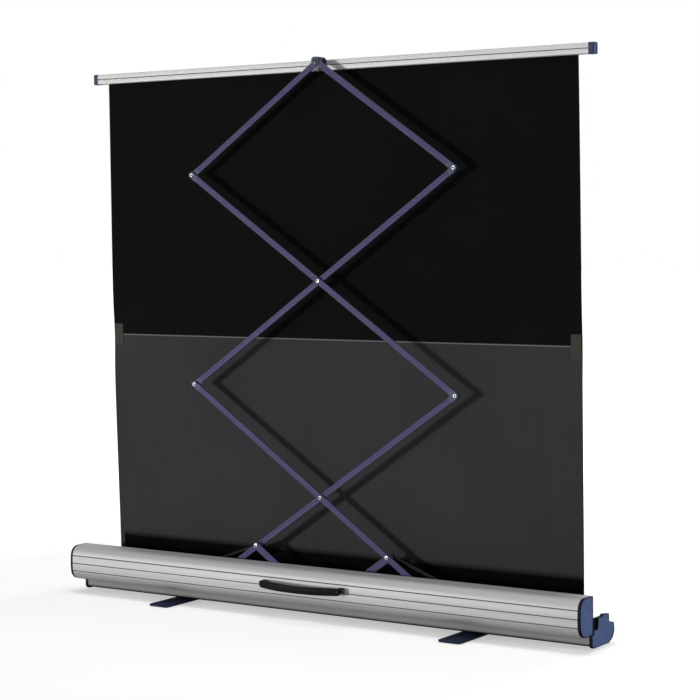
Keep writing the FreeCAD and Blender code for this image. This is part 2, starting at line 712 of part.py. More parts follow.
def make_sliders():
    """Plastic shoes that run between the trough's ribs and carry the lower ends of the arms."""
    for label, side, step in (("slider_left", -1, 1), ("slider_right", 1, -1)):
        body = piece(label)
        shoe = sketch(body, "XZ_Plane", label + "_shoe")
        low = "floor_top + seat - base_pivot_height"
        high = low + " + shoe_height"
        box_loop(shoe, "0 - shoe_length / 2", low, "shoe_length / 2", high)
        width = "2 * (arm_thickness + arm_gap / 2 + link_gap - seat)"
        pad(body, shoe, width, middle=True)
        ear = sketch(body, "XZ_Plane", label + "_ear")
        box_loop(ear, "0 - ear_width / 2", high + " - overrun", "ear_width / 2", "0")
        # The sketch looks towards -Y, so a pad grows to the rear unless it is reversed.
        thickness = "arm_thickness + arm_gap / 2"
        pad(body, ear, thickness, reverse=step < 0)
        nose = sketch(body, "XZ_Plane", label + "_nose")
        circle(nose, "0", "0", "ear_width / 2")
        pad(body, nose, thickness, reverse=step < 0)
        stub = sketch(body, "XZ_Plane", label + "_stub")
        circle(stub, "0", "0", "pin_radius")
        pad(body, stub, thickness, reverse=step > 0)
        place(body, x="%d * reach" % side, y="0 - scissor_depth", z="base_pivot_height")


def spring_frame(side):
    """Length and lean of a gas spring between its upper pin and its anchor, as expressions."""
    across = "(anchor_reach - reach / 2)"
    drop = "(base_pivot_height + lift / 2 - anchor_height)"
    length = "sqrt(%s * %s + %s * %s)" % (across, across, drop, drop)
    lean = "(atan(%s / %s) / 1 deg)" % (drop, across)
    angle = lean if side > 0 else "180 - " + lean
    return length, angle


# Length of a gas spring's cylinder as a share of the distance between the spring's two pins.
CYLINDER_SHARE = 0.5024


def make_gas_springs():
    """Cylinder on the link's pin above, and rod whose eye lies beside its anchor stud below."""
    for side, word in ((-1, "left"), (1, "right")):
        length, angle = spring_frame(side)
        where = dict(x="%d * reach / 2" % side, y="0 - spring_depth",
                     z="base_pivot_height + lift / 2", axis=Y_AXIS, angle=angle)
        tube = piece("gas_cylinder_" + word)
        profile = sketch(tube, "XZ_Plane", "cylinder_profile_" + word)
        end = "eye_neck + %s * %s" % (CYLINDER_SHARE, length)
        bore = "spring_radius - spring_wall"
        neck = "rod_radius + running_fit"
        loop(profile, [
            ("eye_neck", "0"),
            ("eye_neck", "spring_radius"),
            (end, "spring_radius"),
            (end, neck),
            (end + " - piston_length", neck),
            (end + " - piston_length", bore),
            ("eye_neck + 2 * spring_wall", bore),
            ("eye_neck + 2 * spring_wall", "0"),
        ])
        revolve(tube, profile, "H_Axis")
        add_eye(tube, "cylinder_eye_" + word, "0", "eye_neck + spring_wall", "link_pin_radius + running_fit")
        place(tube, **where)

        rod = piece("gas_rod_" + word)
        profile = sketch(rod, "XZ_Plane", "rod_profile_" + word)
        start = end + " - 5 * piston_length"
        stop = length + " - eye_neck"
        loop(profile, [
            (start, "0"),
            (start, bore + " - running_fit"),
            (start + " + piston_length", bore + " - running_fit"),
            (start + " + piston_length", "rod_radius"),
            (stop, "rod_radius"),
            (stop, "0"),
        ])
        revolve(rod, profile, "H_Axis")
        add_eye(rod, "rod_eye_" + word, length, stop + " - spring_wall", "stud_radius + running_fit")
        place(rod, **where)

    body = master("anchor")
    plate = sketch(body, "XZ_Plane", "anchor_plate")
    half = "anchor_width / 2"
    loop(plate, [
        ("0 - " + half, "floor_top"),
        (half, "floor_top"),
        (half, "floor_top + bracket_foot"),
        ("eye_radius", "anchor_height + eye_radius"),
        ("0 - eye_radius", "anchor_height + eye_radius"),
        ("0 - " + half, "floor_top + bracket_foot"),
    ])
    pad(body, plate, "anchor_plate", middle=True)
    stud = sketch(body, "XZ_Plane", "anchor_stud")
    circle(stud, "0", "anchor_height", "stud_radius")
    pad(body, stud, "anchor_plate / 2 + link_gap / 2", reverse=True)
    rear = val("0 - spring_depth - eye_thickness / 2 - link_gap / 2 - anchor_plate / 2 - seat")
    spots = []
    for side in (-1, 1):
        spot = FreeCAD.Vector(side * val("anchor_reach"), rear, 0)
        spots.append(FreeCAD.Placement(spot, FreeCAD.Rotation()))
    group("gas_spring_anchors", body, spots)


def add_eye(body, label, centre, joined, radius):
    """Flat eye with a neck that reaches to joined, and its bore."""
    disc = sketch(body, "XZ_Plane", label + "_disc")
    circle(disc, centre, "0", "eye_radius")
    pad(body, disc, "eye_thickness", middle=True)
    neck = sketch(body, "XZ_Plane", label + "_neck")
    low, high = (centre, joined) if val(joined) > val(centre) else (joined, centre)
    box_loop(neck, low, "0 - rod_radius", high, "rod_radius")
    pad(body, neck, "eye_thickness", middle=True)
    bore = sketch(body, "XZ_Plane", label + "_bore")
    circle(bore, centre, "0", radius)
    pocket(body, bore, "eye_thickness + 2 * overrun")


def make_roller():
    """Spring roller: tube, two plugs, fixed shaft with its spring, and the cloth left on the tube."""
    half = "(case_length / 2 - roller_end_gap)"
    where = dict(y="roller_depth", z="roller_height")
    for label, outer, inner, length in (
        ("roller_tube", "roller_radius", "roller_radius - roller_wall", "2 * " + half),
        ("wound_fabric", "wound_radius", "roller_radius + running_fit", "fabric_width"),
    ):
        body = piece(label)
        ring = sketch(body, "YZ_Plane", label + "_ring")
        circle(ring, "0", "0", outer)
        circle(ring, "0", "0", inner)
        pad(body, ring, length, middle=True)
        place(body, **where)

    inner = "roller_radius - roller_wall - running_fit"
    to_bracket = "roller_end_gap - flange_length"
    steps = [(inner, "plug_length"), ("roller_radius", "flange_length"), ("journal_radius", to_bracket)]
    plug = turned("roller_plug_right", steps, "0 - plug_length")
    place(plug, x=half, axis=Y_AXIS, angle="90", **where)

    plug = turned("roller_plug_left", steps[:2], "0 - plug_length")
    bore = sketch(plug, "XY_Plane", "plug_bore")
    circle(bore, "0", "0", "shaft_radius + running_fit")
    pocket(plug, bore, "2 * (plug_length + flange_length + overrun)")
    place(plug, x="0 - " + half, axis=Y_AXIS, angle="0 - 90", **where)

    shaft = turned("roller_spring_shaft", [("shaft_radius", "shaft_length")], "0")
    place(shaft, x="0 - case_length / 2", axis=Y_AXIS, angle="90", **where)

    body = piece("roller_spring")
    ring = sketch(body, "YZ_Plane", "spring_ring")
    circle(ring, "0", "0", "winding_outer")
    circle(ring, "0", "0", "winding_inner")
    pad(body, ring, "winding_length")
    place(body, x="0 - %s + plug_length + seat" % half, **where)


def cloth_line(height):
    """Where the cloth's rear face stands at a height, on the line from the roller to the bar."""
    low = "(roller_depth + wound_radius + seat)"
    high = "(bar_forward - fabric_thickness / 2)"
    share = "((%s - roller_height) / (bar_bottom - roller_height))" % height
    return "%s + (%s - %s) * %s" % (low, high, low, share)


def cloth_strip(body, label, low, high, offset, thickness, width):
    """A strip that leans with the cloth between two heights."""
    section = sketch(body, "YZ_Plane", label)
    loop(section, [
        (cloth_line(low) + " + " + offset, low),
        (cloth_line(low) + " + %s + %s" % (offset, thickness), low),
        (cloth_line(high) + " + %s + %s" % (offset, thickness), high),
        (cloth_line(high) + " + " + offset, high),
    ])
    pad(body, section, width, middle=True)


def make_cloth():
    """The screen cloth in two joined strips, and the tabs on its rear face at the seam."""
    body = piece("screen_fabric_lower")
    cloth_strip(body, "lower_strip", "roller_height", "seam_height", "0", "fabric_thickness", "fabric_width")
    body = piece("screen_fabric_upper")
    top = "(bar_bottom + slot_lip)"
    cloth_strip(body, "upper_strip", "seam_height", top, "0", "fabric_thickness", "fabric_width")

    tab = master("tab")
    low = "(seam_height - tab_height / 2)"
    high = "(seam_height + tab_height / 2)"
    cloth_strip(tab, "tab_strip", low, high, "(0 - tab_thickness - seat)", "tab_thickness", "tab_width")
    spots = []
    for side in (-1, 1):
        spot = FreeCAD.Vector(side * val("fabric_width / 2 - tab_width / 2"), 0, 0)
        spots.append(FreeCAD.Placement(spot, FreeCAD.Rotation()))
    group("seam_tabs", tab, spots)


def lid_corners():
    """Outer corners of the lid's section, from the free edge at the top round to the hinge."""
    edge = "(crest_y + lid_crown)"
    middle = "(lid_top + lid_bottom) / 2"
    return [("0 - lid_flat", "lid_top"), (edge, "lid_top"), ("crest_y", middle), (edge, "lid_bottom")]


def round_lid(body, corners, inset):
    """Rounds the three long corners of a lid outline, whose walls lie inset from the outside."""
    for corner, radius in zip(corners, ("lid_upper_round", "lid_crest_round", "lid_lower_round")):
        round_edges(body, "%s - %s" % (radius, inset), lengthwise_at(*corner))


def make_lid():
    """Curved lid, standing open on the rear wall: shell, hinge hook, grooves, and two end caps."""
    free, upper, crest, lower = lid_corners()
    body = piece("lid_shell")
    outline = sketch(body, "YZ_Plane", "lid_outline")
    hinge_y = "bead_y - bead_radius - hook_clearance"
    points = [free, upper, crest, lower, (hinge_y, lower[1])]
    inner_upper = (upper[0] + " + lid_wall", upper[1] + " - lid_wall")
    inner_crest = (crest[0] + " + lid_wall", crest[1])
    inner_lower = (lower[0] + " + lid_wall", lower[1] + " + lid_wall")
    points += [(hinge_y, inner_lower[1]), inner_lower, inner_crest, inner_upper]
    lip_y = free[0] + " - lid_wall"
    points += [(lip_y, inner_upper[1]), (lip_y, free[1] + " - lid_lip"), (free[0], free[1] + " - lid_lip")]
    loop(outline, points)
    pad(body, outline, "case_length", middle=True)
    round_lid(body, (upper, crest, lower), "0")
    round_lid(body, (inner_upper, inner_crest, inner_lower), "lid_wall")

    hook = sketch(body, "YZ_Plane", "lid_hook")
    inner = "(bead_radius + hook_clearance)"
    circle(hook, "bead_y", "bead_z", inner + " + hook_wall")
    circle(hook, "bead_y", "bead_z", inner)
    pad(body, hook, "case_length", middle=True)
    mouth = sketch(body, "YZ_Plane", "hook_mouth")
    loop(mouth, [
        ("bead_y - 1.4 * bead_radius", "bead_z - bead_radius"),
        ("bead_y - 0.5 * bead_radius", "bead_z - 2 * bead_radius"),
        ("bead_y + 2 * bead_radius", "bead_z - 2 * bead_radius"),
        ("bead_y + 2 * bead_radius", "bead_z + 0.7 * bead_radius"),
        ("bead_y", "bead_z"),
    ])
    pocket(body, mouth, "case_length + 2 * overrun")

    grooves = sketch(body, "YZ_Plane", "lid_grooves")
    floor_y = "(crest_y + groove_depth + lid_crown / 8)"
    for step in (-1, 0, 1):
        middle = "%s + %d * groove_pitch" % (crest[1], step)
        low = middle + " - groove_width / 2"
        high = middle + " + groove_width / 2"
        box_loop(grooves, "crest_y - overrun", low, floor_y, high)
    pocket(body, grooves, "case_length + 2 * overrun")

    for side, label in ((-1, "lid_cap_left"), (1, "lid_cap_right")):
        body = piece(label)
        outline = sketch(body, "YZ_Plane", label + "_outline")
        loop(outline, [free, upper, crest, lower, ("bead_y", lower[1]), (free[0], "bead_z")])
        pad(body, outline, "cap_thickness", reverse=side < 0)
        round_lid(body, (upper, crest, lower), "0")
        outer_x = side * val("cap_thickness")

        def outer_rim(edge):
            return all(abs(vertex.Point.x - outer_x) < TOUCH for vertex in edge.Vertexes)

        round_edges(body, "cap_thickness / 6", outer_rim)
        place(body, x="%d * case_length / 2" % side)


def make_handle():
    """Bowed carrying handle with a lug near each end, and the brackets it swings on."""
    span = val("handle_span")
    bow = val("handle_bow")
    thick = val("handle_thickness")
    height = val("handle_height")
    setback = val("handle_setback")
    reach = span / 2 + val("handle_overhang")
    # The grip is a bar turned about an upright axis, so that it bows out along local -Y.
    bow_radius = (reach ** 2 + bow ** 2) / (2 * bow)
    half_turn = math.degrees(math.asin(reach / bow_radius))
    centre = FreeCAD.Vector(0, bow_radius - setback - bow, 0)
    outer_y = -setback - bow - thick / 2
    corners = [(outer_y, -height / 2), (outer_y + thick, -height / 2), (outer_y + thick, height / 2),
               (outer_y, height / 2), (outer_y, -height / 2)]
    section = Part.Face(Part.makePolygon([FreeCAD.Vector(0, y, z) for y, z in corners]))
    section.rotate(centre, Z_AXIS, -half_turn)
    grip = section.revolve(centre, Z_AXIS, 2 * half_turn)
    grip = grip.makeFillet(val("handle_round"), grip.Edges)
    lug_radius = val("lug_radius")
    lug_width = val("lug_width")
    for side in (-1, 1):
        corner = FreeCAD.Vector(side * span / 2 - lug_width / 2, 0, 0)
        nose = Part.makeCylinder(lug_radius, lug_width, corner, X_AXIS)
        neck_corner = corner + FreeCAD.Vector(0, -setback, -lug_radius)
        neck = Part.makeBox(lug_width, setback, 2 * lug_radius, neck_corner)
        bore_radius = val("handle_pin_radius + running_fit")
        bore = Part.makeCylinder(bore_radius, lug_width, corner, X_AXIS)
        grip = grip.fuse([nose, neck]).cut(bore)
    handle = doc.addObject("Part::Feature", "carrying_handle")
    handle.Label = "carrying_handle"
    handle.Shape = grip.removeSplitter()
    place(handle, y="handle_y", z="handle_pivot_height", axis=X_AXIS, angle="handle_tilt")
    nodes.append(handle)

    bracket = master("handle_bracket")
    ears = sketch(bracket, "YZ_Plane", "bracket_ears")
    face = "handle_pivot_out + lid_crown / 8 - seat"
    loop(ears, [
        (face, "0 - bracket_height / 2"),
        (face, "bracket_height / 2"),
        ("lug_radius", "bracket_height / 2"),
        ("0 - lug_radius", "lug_radius"),
        ("0 - lug_radius", "0 - lug_radius"),
        ("lug_radius", "0 - bracket_height / 2"),
    ])
    pad(bracket, ears, "lug_width + 2 * seat + 2 * ear_thickness", middle=True)
    gap = sketch(bracket, "YZ_Plane", "bracket_gap")
    deep = "lug_radius + seat"
    box_loop(gap, "0 - lug_radius - overrun", "0 - bracket_height", deep, "bracket_height")
    pocket(bracket, gap, "lug_width + 2 * seat")
    bore = sketch(bracket, "YZ_Plane", "bracket_bore")
    circle(bore, "0", "0", "handle_pin_radius")
    pocket(bracket, bore, "2 * handle_span")
    turn = FreeCAD.Rotation()
    spots = []
    for side in (-1, 1):
        spot = FreeCAD.Vector(side * span / 2, val("handle_y"), val("handle_pivot_height"))
        spots.append(FreeCAD.Placement(spot, turn))
    group("handle_brackets", bracket, spots)

    length = "lug_width + 2 * seat + 2 * ear_thickness"
    pin = turned("handle_pin", [("handle_pin_radius", length)], "0 - (%s) / 2" % length, single=False)
    spin = FreeCAD.Rotation(Y_AXIS, 90)
    group("handle_pins", pin, [FreeCAD.Placement(spot.Base, spin) for spot in spots])


def make_top_bar():
    """Top bar with its cloth slot and spline, two caps, and the apex bracket with its pin."""
    rear = "(bar_forward - bar_depth / 2)"
    front = "(bar_forward + bar_depth / 2)"
    low = "bar_bottom"
    high = "(%s + bar_height)" % low
    mouth = "slot_width / 2"
    room = "slot_room / 2"
    ceiling = "(%s + slot_lip + slot_room)" % low
    body = piece("top_bar")
    section = sketch(body, "YZ_Plane", "bar_section")
    groove_low = "((%s + %s) / 2 - bar_groove / 2)" % (low, high)
    loop(section, [
        (rear, low),
        ("bar_forward - " + mouth, low),
        ("bar_forward - " + mouth, low + " + slot_lip"),
        ("bar_forward - " + room, low + " + slot_lip"),
        ("bar_forward - " + room, ceiling),
        ("bar_forward + " + room, ceiling),
        ("bar_forward + " + room, low + " + slot_lip"),
        ("bar_forward + " + mouth, low + " + slot_lip"),
        ("bar_forward + " + mouth, low),
        (front, low),
        (front, high),
        (rear, high),
        (rear, groove_low + " + bar_groove"),
        (rear + " + bar_groove / 2", groove_low + " + bar_groove"),
        (rear + " + bar_groove / 2", groove_low),
        (rear, groove_low),
    ])
    pad(body, section, "bar_length", middle=True)
    for corner in ((rear, low), (front, low), (front, high), (rear, high)):
        round_edges(body, "bar_round", lengthwise_at(*corner))
    hollow = sketch(body, "YZ_Plane", "bar_hollow")
    side_wall = "bar_wall + bar_groove / 2"
    low_corner = (rear + " + " + side_wall, ceiling + " + bar_wall")
    box_loop(hollow, *low_corner, front + " - bar_wall", high + " - bar_wall")
    pocket(body, hollow, "bar_length + 2 * overrun")

    spline = turned("bar_spline", [("spline_radius", "fabric_width")], "0 - fabric_width / 2")
    rod_z = low + " + slot_lip + spline_radius + seat"
    place(spline, y="bar_forward", z=rod_z, axis=Y_AXIS, angle="90")

    for side, label in ((-1, "bar_cap_left"), (1, "bar_cap_right")):
        cap = piece(label)
        outline = sketch(cap, "YZ_Plane", label + "_outline")
        more = "bar_cap_overlap"
        box_loop(outline, rear + " - " + more, low + " - " + more, front + " + " + more, high + " + " + more)
        pad(cap, outline, "bar_cap_length", reverse=side < 0)

        def long_edge(edge):
            ends = [vertex.Point for vertex in edge.Vertexes]
            return len(ends) == 2 and abs(ends[0].x - ends[1].x) > TOUCH

        round_edges(cap, "bar_round + bar_cap_overlap", long_edge)
        outer_x = side * val("bar_cap_length")

        def outer_rim(edge):
            return all(abs(vertex.Point.x - outer_x) < TOUCH for vertex in edge.Vertexes)

        round_edges(cap, "bar_wall", outer_rim)
        place(cap, x="%d * bar_length / 2" % side)

    # The bracket's block stands against the bar, and its roof carries the rear cheek.
    bracket = piece("apex_bracket")
    block = sketch(bracket, "YZ_Plane", "apex_block")
    arms_back = "(back_layer + arm_thickness / 2 + side_play + head_height + side_play)"
    arms_front = "(front_layer - arm_thickness / 2 - 2 * side_play)"
    cheek_rear = arms_front + " - apex_cheek"
    roof = "(apex_z + apex_top)"
    under_roof = roof + " - apex_roof"
    cheek_low = "(apex_z - fitting_radius)"
    loop(block, [
        (rear + " - seat", low),
        (rear + " - seat", roof),
        (cheek_rear, roof),
        (cheek_rear, cheek_low),
        (arms_front, cheek_low),
        (arms_front, under_roof),
        (arms_back, under_roof),
        (arms_back, low),
    ])
    pad(bracket, block, "apex_width", middle=True)
    bore = sketch(bracket, "XZ_Plane", "apex_bore")
    circle(bore, "0", "apex_z", "pin_radius")
    pocket(bracket, bore, "0 - (%s) + overrun" % cheek_rear, middle=False, reverse=True)

    long_shank = "(%s) - (%s) + (%s) - (%s)" % (arms_back, cheek_rear, rear, arms_back)
    pin = cross_pin("apex_pin", "0", "apex_z", cheek_rear + " - head_height", [
        ("head_radius", "head_height"),
        ("pin_radius", long_shank + " - 2 * seat"),
    ])
    return pin


def make_feet():
    """Flat swivelling feet with their rubber pads, and the bolts that hold them to the trough."""
    for side, word in ((-1, "left"), (1, "right")):
        body = piece("foot_" + word)
        outline = sketch(body, "XY_Plane", "foot_outline_" + word)
        box_loop(outline, "0 - foot_width / 2", "0 - foot_length / 2", "foot_width / 2", "foot_length / 2")
        pad(body, outline, "foot_thickness")

        def corner(edge):
            ends = [vertex.Point for vertex in edge.Vertexes]
            return len(ends) == 2 and abs(ends[0].z - ends[1].z) > TOUCH

        round_edges(body, "foot_round", corner)
        top_z = val("foot_thickness")

        def upper_rim(edge):
            return all(abs(vertex.Point.z - top_z) < TOUCH for vertex in edge.Vertexes)

        round_edges(body, "pad_thickness", upper_rim)
        collar = sketch(body, "XY_Plane", "foot_collar_" + word)
        circle(collar, "0", "0", "foot_collar_radius")
        pad(body, collar, "base_bottom - pad_thickness - seat")
        bore = sketch(body, "XY_Plane", "foot_bore_" + word)
        circle(bore, "0", "0", "bolt_radius + running_fit")
        pocket(body, bore, "2 * base_bottom")
        sink = sketch(body, "XY_Plane", "foot_sink_" + word)
        circle(sink, "0", "0", "bolt_head_radius + seat")
        pocket(body, sink, "2 * (bolt_head_height + seat)")
        place(body, x="%d * foot_reach" % side, z="pad_thickness")

        one = master("pad_" + word)
        outline = sketch(one, "XY_Plane", "pad_outline_" + word)
        wide = "(foot_width / 2 - pad_inset)"
        far = "(foot_length / 2 - pad_inset)"
        box_loop(outline, "0 - " + wide, far + " - pad_length", wide, far)
        pad(one, outline, "pad_thickness")
        spots = []
        for turn in (0, 180):
            spot = FreeCAD.Vector(side * val("foot_reach"), 0, 0)
            spots.append(FreeCAD.Placement(spot, FreeCAD.Rotation(Z_AXIS, turn)))
        group("foot_pads_" + word, one, spots)

    shank = "base_bottom + base_floor - pad_thickness - bolt_head_height"
    head = ("bolt_head_radius", "bolt_head_height")
    steps = [head, ("bolt_radius", shank), head]
    bolt = turned("foot_bolt", steps, "0", single=False)
    spots = []
    for side in (-1, 1):
        spot = FreeCAD.Vector(side * val("foot_reach"), 0, val("pad_thickness"))
        spots.append(FreeCAD.Placement(spot, FreeCAD.Rotation()))
    group("foot_bolts", bolt, spots)


make_base_trough()
make_base_caps()
make_end_brackets()
make_centre_bracket()
make_base_pivot_pin()
make_links()
make_arms()
make_rivets()
make_sliders()
make_gas_springs()
make_roller()
make_cloth()
make_lid()
make_handle()
make_top_bar()
make_feet()
doc.recompute()

# Nothing is written unless every object is sound.
for thing in doc.Objects:
    for word in ("Invalid", "Error"):
        if word in thing.State:
            raise ValueError("%s is %s" % (thing.Label, word))
unsound = []
for node in nodes:
    shape = node.Shape
    if shape.isNull() or not shape.isValid() or not shape.Solids:
        unsound.append(node.Label)
if unsound:
    raise ValueError("no sound shape: " + ", ".join(unsound))
if len(nodes) > 60:
    raise ValueError("too many nodes: %d" % len(nodes))
for node in nodes:
    node.Shape.exportStep("parts/%s.step" % node.Label)
    box = node.Shape.BoundBox
    print("%-26s %2d  %8.1f %8.1f %8.1f  %8.1f %8.1f %8.1f" % (
        node.Label, len(node.Shape.Solids), box.XMin, box.YMin, box.ZMin, box.XMax, box.YMax, box.ZMax))
print(len(nodes), "nodes")
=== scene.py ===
import json
import math

import bmesh
import bpy
import numpy as np
from mathutils import Matrix, Vector
from mathutils.geometry import tessellate_polygon


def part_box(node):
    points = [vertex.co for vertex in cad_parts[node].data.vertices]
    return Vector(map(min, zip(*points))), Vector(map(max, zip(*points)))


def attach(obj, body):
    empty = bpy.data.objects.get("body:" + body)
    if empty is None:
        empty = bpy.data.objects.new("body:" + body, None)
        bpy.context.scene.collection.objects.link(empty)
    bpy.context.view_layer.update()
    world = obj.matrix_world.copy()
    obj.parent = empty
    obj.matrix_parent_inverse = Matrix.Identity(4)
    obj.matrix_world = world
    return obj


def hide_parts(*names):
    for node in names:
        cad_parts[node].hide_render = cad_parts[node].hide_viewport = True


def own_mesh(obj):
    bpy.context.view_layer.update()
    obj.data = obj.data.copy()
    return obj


# A floor-standing projection screen seen from behind: an aluminium case on two flat feet, a cloth
# that rises from a roller, and a scissor of violet tubes that holds up the top bar. X runs along the
# case, Y towards the audience and Z up; the rear is the side of low Y.

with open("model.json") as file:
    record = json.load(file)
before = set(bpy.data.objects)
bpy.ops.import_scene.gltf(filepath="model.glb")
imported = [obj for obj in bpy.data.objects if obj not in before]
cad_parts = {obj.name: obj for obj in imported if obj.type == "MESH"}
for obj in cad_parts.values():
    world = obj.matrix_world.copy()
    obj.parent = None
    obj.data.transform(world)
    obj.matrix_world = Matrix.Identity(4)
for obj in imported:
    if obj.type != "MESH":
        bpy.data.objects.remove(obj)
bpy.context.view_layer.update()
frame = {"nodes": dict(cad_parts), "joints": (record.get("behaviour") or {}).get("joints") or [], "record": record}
mm = 0.001

BODY_OF = {node: body for body, nodes in frame["record"]["behaviour"]["bodies"].items() for node in nodes}
PIVOT = {joint["name"]: np.array(joint["pos_m"]) for joint in frame["joints"] if "pos_m" in joint}


# ---- shapes: arrays of vertices and faces ----


def grid_faces(rows, columns, close_rows=False, close_columns=False, start=0):
    """Quads of a grid numbered row by row; a closed side joins its last line to its first."""
    row = np.arange(rows if close_rows else rows - 1)[:, None]
    column = np.arange(columns if close_columns else columns - 1)[None, :]
    next_row = (row + 1) % rows
    next_column = (column + 1) % columns
    quad = [row * columns + column, row * columns + next_column,
            next_row * columns + next_column, next_row * columns + column]
    return (start + np.stack(np.broadcast_arrays(*quad), -1).reshape(-1, 4)).tolist()


def rounded(corners, steps=8):
    """An outline from corners (a, b, radius). Each corner becomes the arc that touches both its sides,
    worked out as the sine-weighted turn from the first touching point to the last."""
    corners = np.array(corners, float)
    spots = corners[:, :2]
    made = []
    for spot, before, after, radius in zip(spots, np.roll(spots, 1, 0), np.roll(spots, -1, 0), corners[:, 2]):
        if radius == 0:
            made.append(spot[None])
            continue
        back = (before - spot) / np.linalg.norm(before - spot)
        ahead = (after - spot) / np.linalg.norm(after - spot)
        half = math.acos(np.clip(back @ ahead, -1, 1)) / 2
        centre = spot + (back + ahead) / np.linalg.norm(back + ahead) * radius / math.sin(half)
        first = spot + back * radius / math.tan(half) - centre
        last = spot + ahead * radius / math.tan(half) - centre
        turn = math.pi - 2 * half
        share = np.linspace(0, 1, steps + 1)[:, None]
        swing = np.sin((1 - share) * turn) * first + np.sin(share * turn) * last
        made.append(centre + swing / math.sin(turn))
    return np.concatenate(made)


def oblong(a_ends, b_ends, radii, steps):
    """A rounded rectangle's outline. Radii is one number, or one for each corner in the order low low,
    high low, high high, low high."""
    (a_low, a_high), (b_low, b_high) = a_ends, b_ends
    corners = [(a_low, b_low), (a_high, b_low), (a_high, b_high), (a_low, b_high)]
    return rounded(np.column_stack([corners, np.broadcast_to(radii, 4)]), steps)


def inset(outline, depth):
    """The outline moved inwards by depth, each point along the mean of its two sides' normals."""
    ahead = np.roll(outline, -1, 0) - outline
    ahead /= np.linalg.norm(ahead, axis=1)[:, None]
    side = np.column_stack([-ahead[:, 1], ahead[:, 0]])
    mean = side + np.roll(side, 1, 0)
    mean /= np.linalg.norm(mean, axis=1)[:, None]
    # A sharp corner's point moves by at most twice the depth.
    stretch = depth / np.maximum((mean * side).sum(1), 0.5)
    a, b = outline.T
    inwards = np.sign(np.sum(a * np.roll(b, -1) - b * np.roll(a, -1)))
    return outline + inwards * mean * stretch[:, None]


def filled(loops, start=0):
    """Triangles that fill the first loop less the others, numbered as the loops follow each other."""
    spots = [[Vector((a, b, 0)) for a, b in loop] for loop in loops]
    return (np.array(tessellate_polygon(spots)) + start).tolist()


def flat_end(outline, x):
    """A flat face that fills an outline in Y and Z at a place along X."""
    return np.column_stack([np.full(len(outline), x), outline]), filled([outline])


def drawn(loops, low, high):
    """A profile drawn along X from low to high: an outer loop and its holes in Y and Z."""
    section = np.concatenate(loops)
    count = len(section)
    ends = [np.column_stack([np.full(count, x), section]) for x in (low, high)]
    faces = filled(loops) + filled(loops, count)
    start = 0
    for loop in loops:
        number = len(loop)
        wall = np.array(grid_faces(2, number, close_columns=True))
        faces += (wall % number + start + count * (wall // number)).tolist()
        start += number
    return np.concatenate(ends), faces


def stepped(outline, rings):
    """An end cap's skin: the outline repeated at (place along X, inset) rings, joined by quads."""
    layers = [np.column_stack([np.full(len(outline), x), inset(outline, depth) if depth else outline])
              for x, depth in rings]
    return np.concatenate(layers), grid_faces(len(rings), len(outline), close_columns=True)


def turned(profile, steps):
    """A profile of (length, radius) turned about X, with a flat face at each end."""
    profile = np.array(profile, float)
    angle = np.linspace(0, 2 * math.pi, steps, endpoint=False)
    length, radius = profile[:, :1], profile[:, 1:]
    across = [length + 0 * angle, radius * np.cos(angle), radius * np.sin(angle)]
    around = np.stack(across, -1).reshape(-1, 3)
    first = list(range(steps))
    last = [(len(profile) - 1) * steps + number for number in range(steps)]
    return around, grid_faces(len(profile), steps, close_columns=True) + [first, last]


def along(shape, origin, direction):
    """The shape moved so that its X axis runs from origin along direction and its Y axis lies level.
    The direction mustn't be upright."""
    ahead = np.array(direction, float) / np.linalg.norm(direction)
    across = np.cross((0, 0, 1), ahead)
    across /= np.linalg.norm(across)
    turn = np.column_stack([ahead, across, np.cross(ahead, across)])
    return shape[0] @ turn.T + np.array(origin), shape[1]


# ---- pieces ----


def in_scene(name, data):
    """A new object with its data, linked to the scene."""
    made = bpy.data.objects.new(name, data)
    bpy.context.scene.collection.objects.link(made)
    return made


def give_places(mesh, places):
    """Gives each vertex its two places in metres, which the patterns of cloth and tubes follow."""
    corners = np.zeros(len(mesh.loops), int)
    mesh.loops.foreach_get("vertex_index", corners)
    flat = places[corners].astype(np.float32).ravel()
    mesh.uv_layers.new(name="metres").data.foreach_set("uv", flat)


def make(name, nodes, parts, bevel=0, uv=None, weld=True, smooth=35):
    """One piece from (shape, material) parts. It stands for its CAD nodes and moves with their body.
    Doubles are merged and the faces turned outwards; uv gives places in metres for each vertex."""
    mesh = bpy.data.meshes.new(name)
    vertices, faces, finishes = [], [], []
    start = 0
    for number, ((spots, quads), material) in enumerate(parts):
        vertices.append(spots)
        faces += [[start + corner for corner in face] for face in quads]
        finishes += [number] * len(quads)
        start += len(spots)
        mesh.materials.append(material)
    mesh.from_pydata(np.concatenate(vertices).tolist(), [], faces)
    mesh.polygons.foreach_set("material_index", finishes)
    if uv is not None:
        give_places(mesh, uv)
    finished(mesh, 0.01 * mm if weld else 0, smooth)
    return settled(in_scene(name, mesh), nodes, bevel)


def finished(mesh, merge, smooth):
    """Merges doubles, turns the faces outwards, and shades smooth where faces meet gently."""
    work = bmesh.new()
    work.from_mesh(mesh)
    if merge:
        bmesh.ops.remove_doubles(work, verts=work.verts, dist=merge)
        bmesh.ops.recalc_face_normals(work, faces=work.faces)
    work.to_mesh(mesh)
    work.free()
    mesh.polygons.foreach_set("use_smooth", [True] * len(mesh.polygons))
    mesh.set_sharp_from_angle(angle=math.radians(smooth))


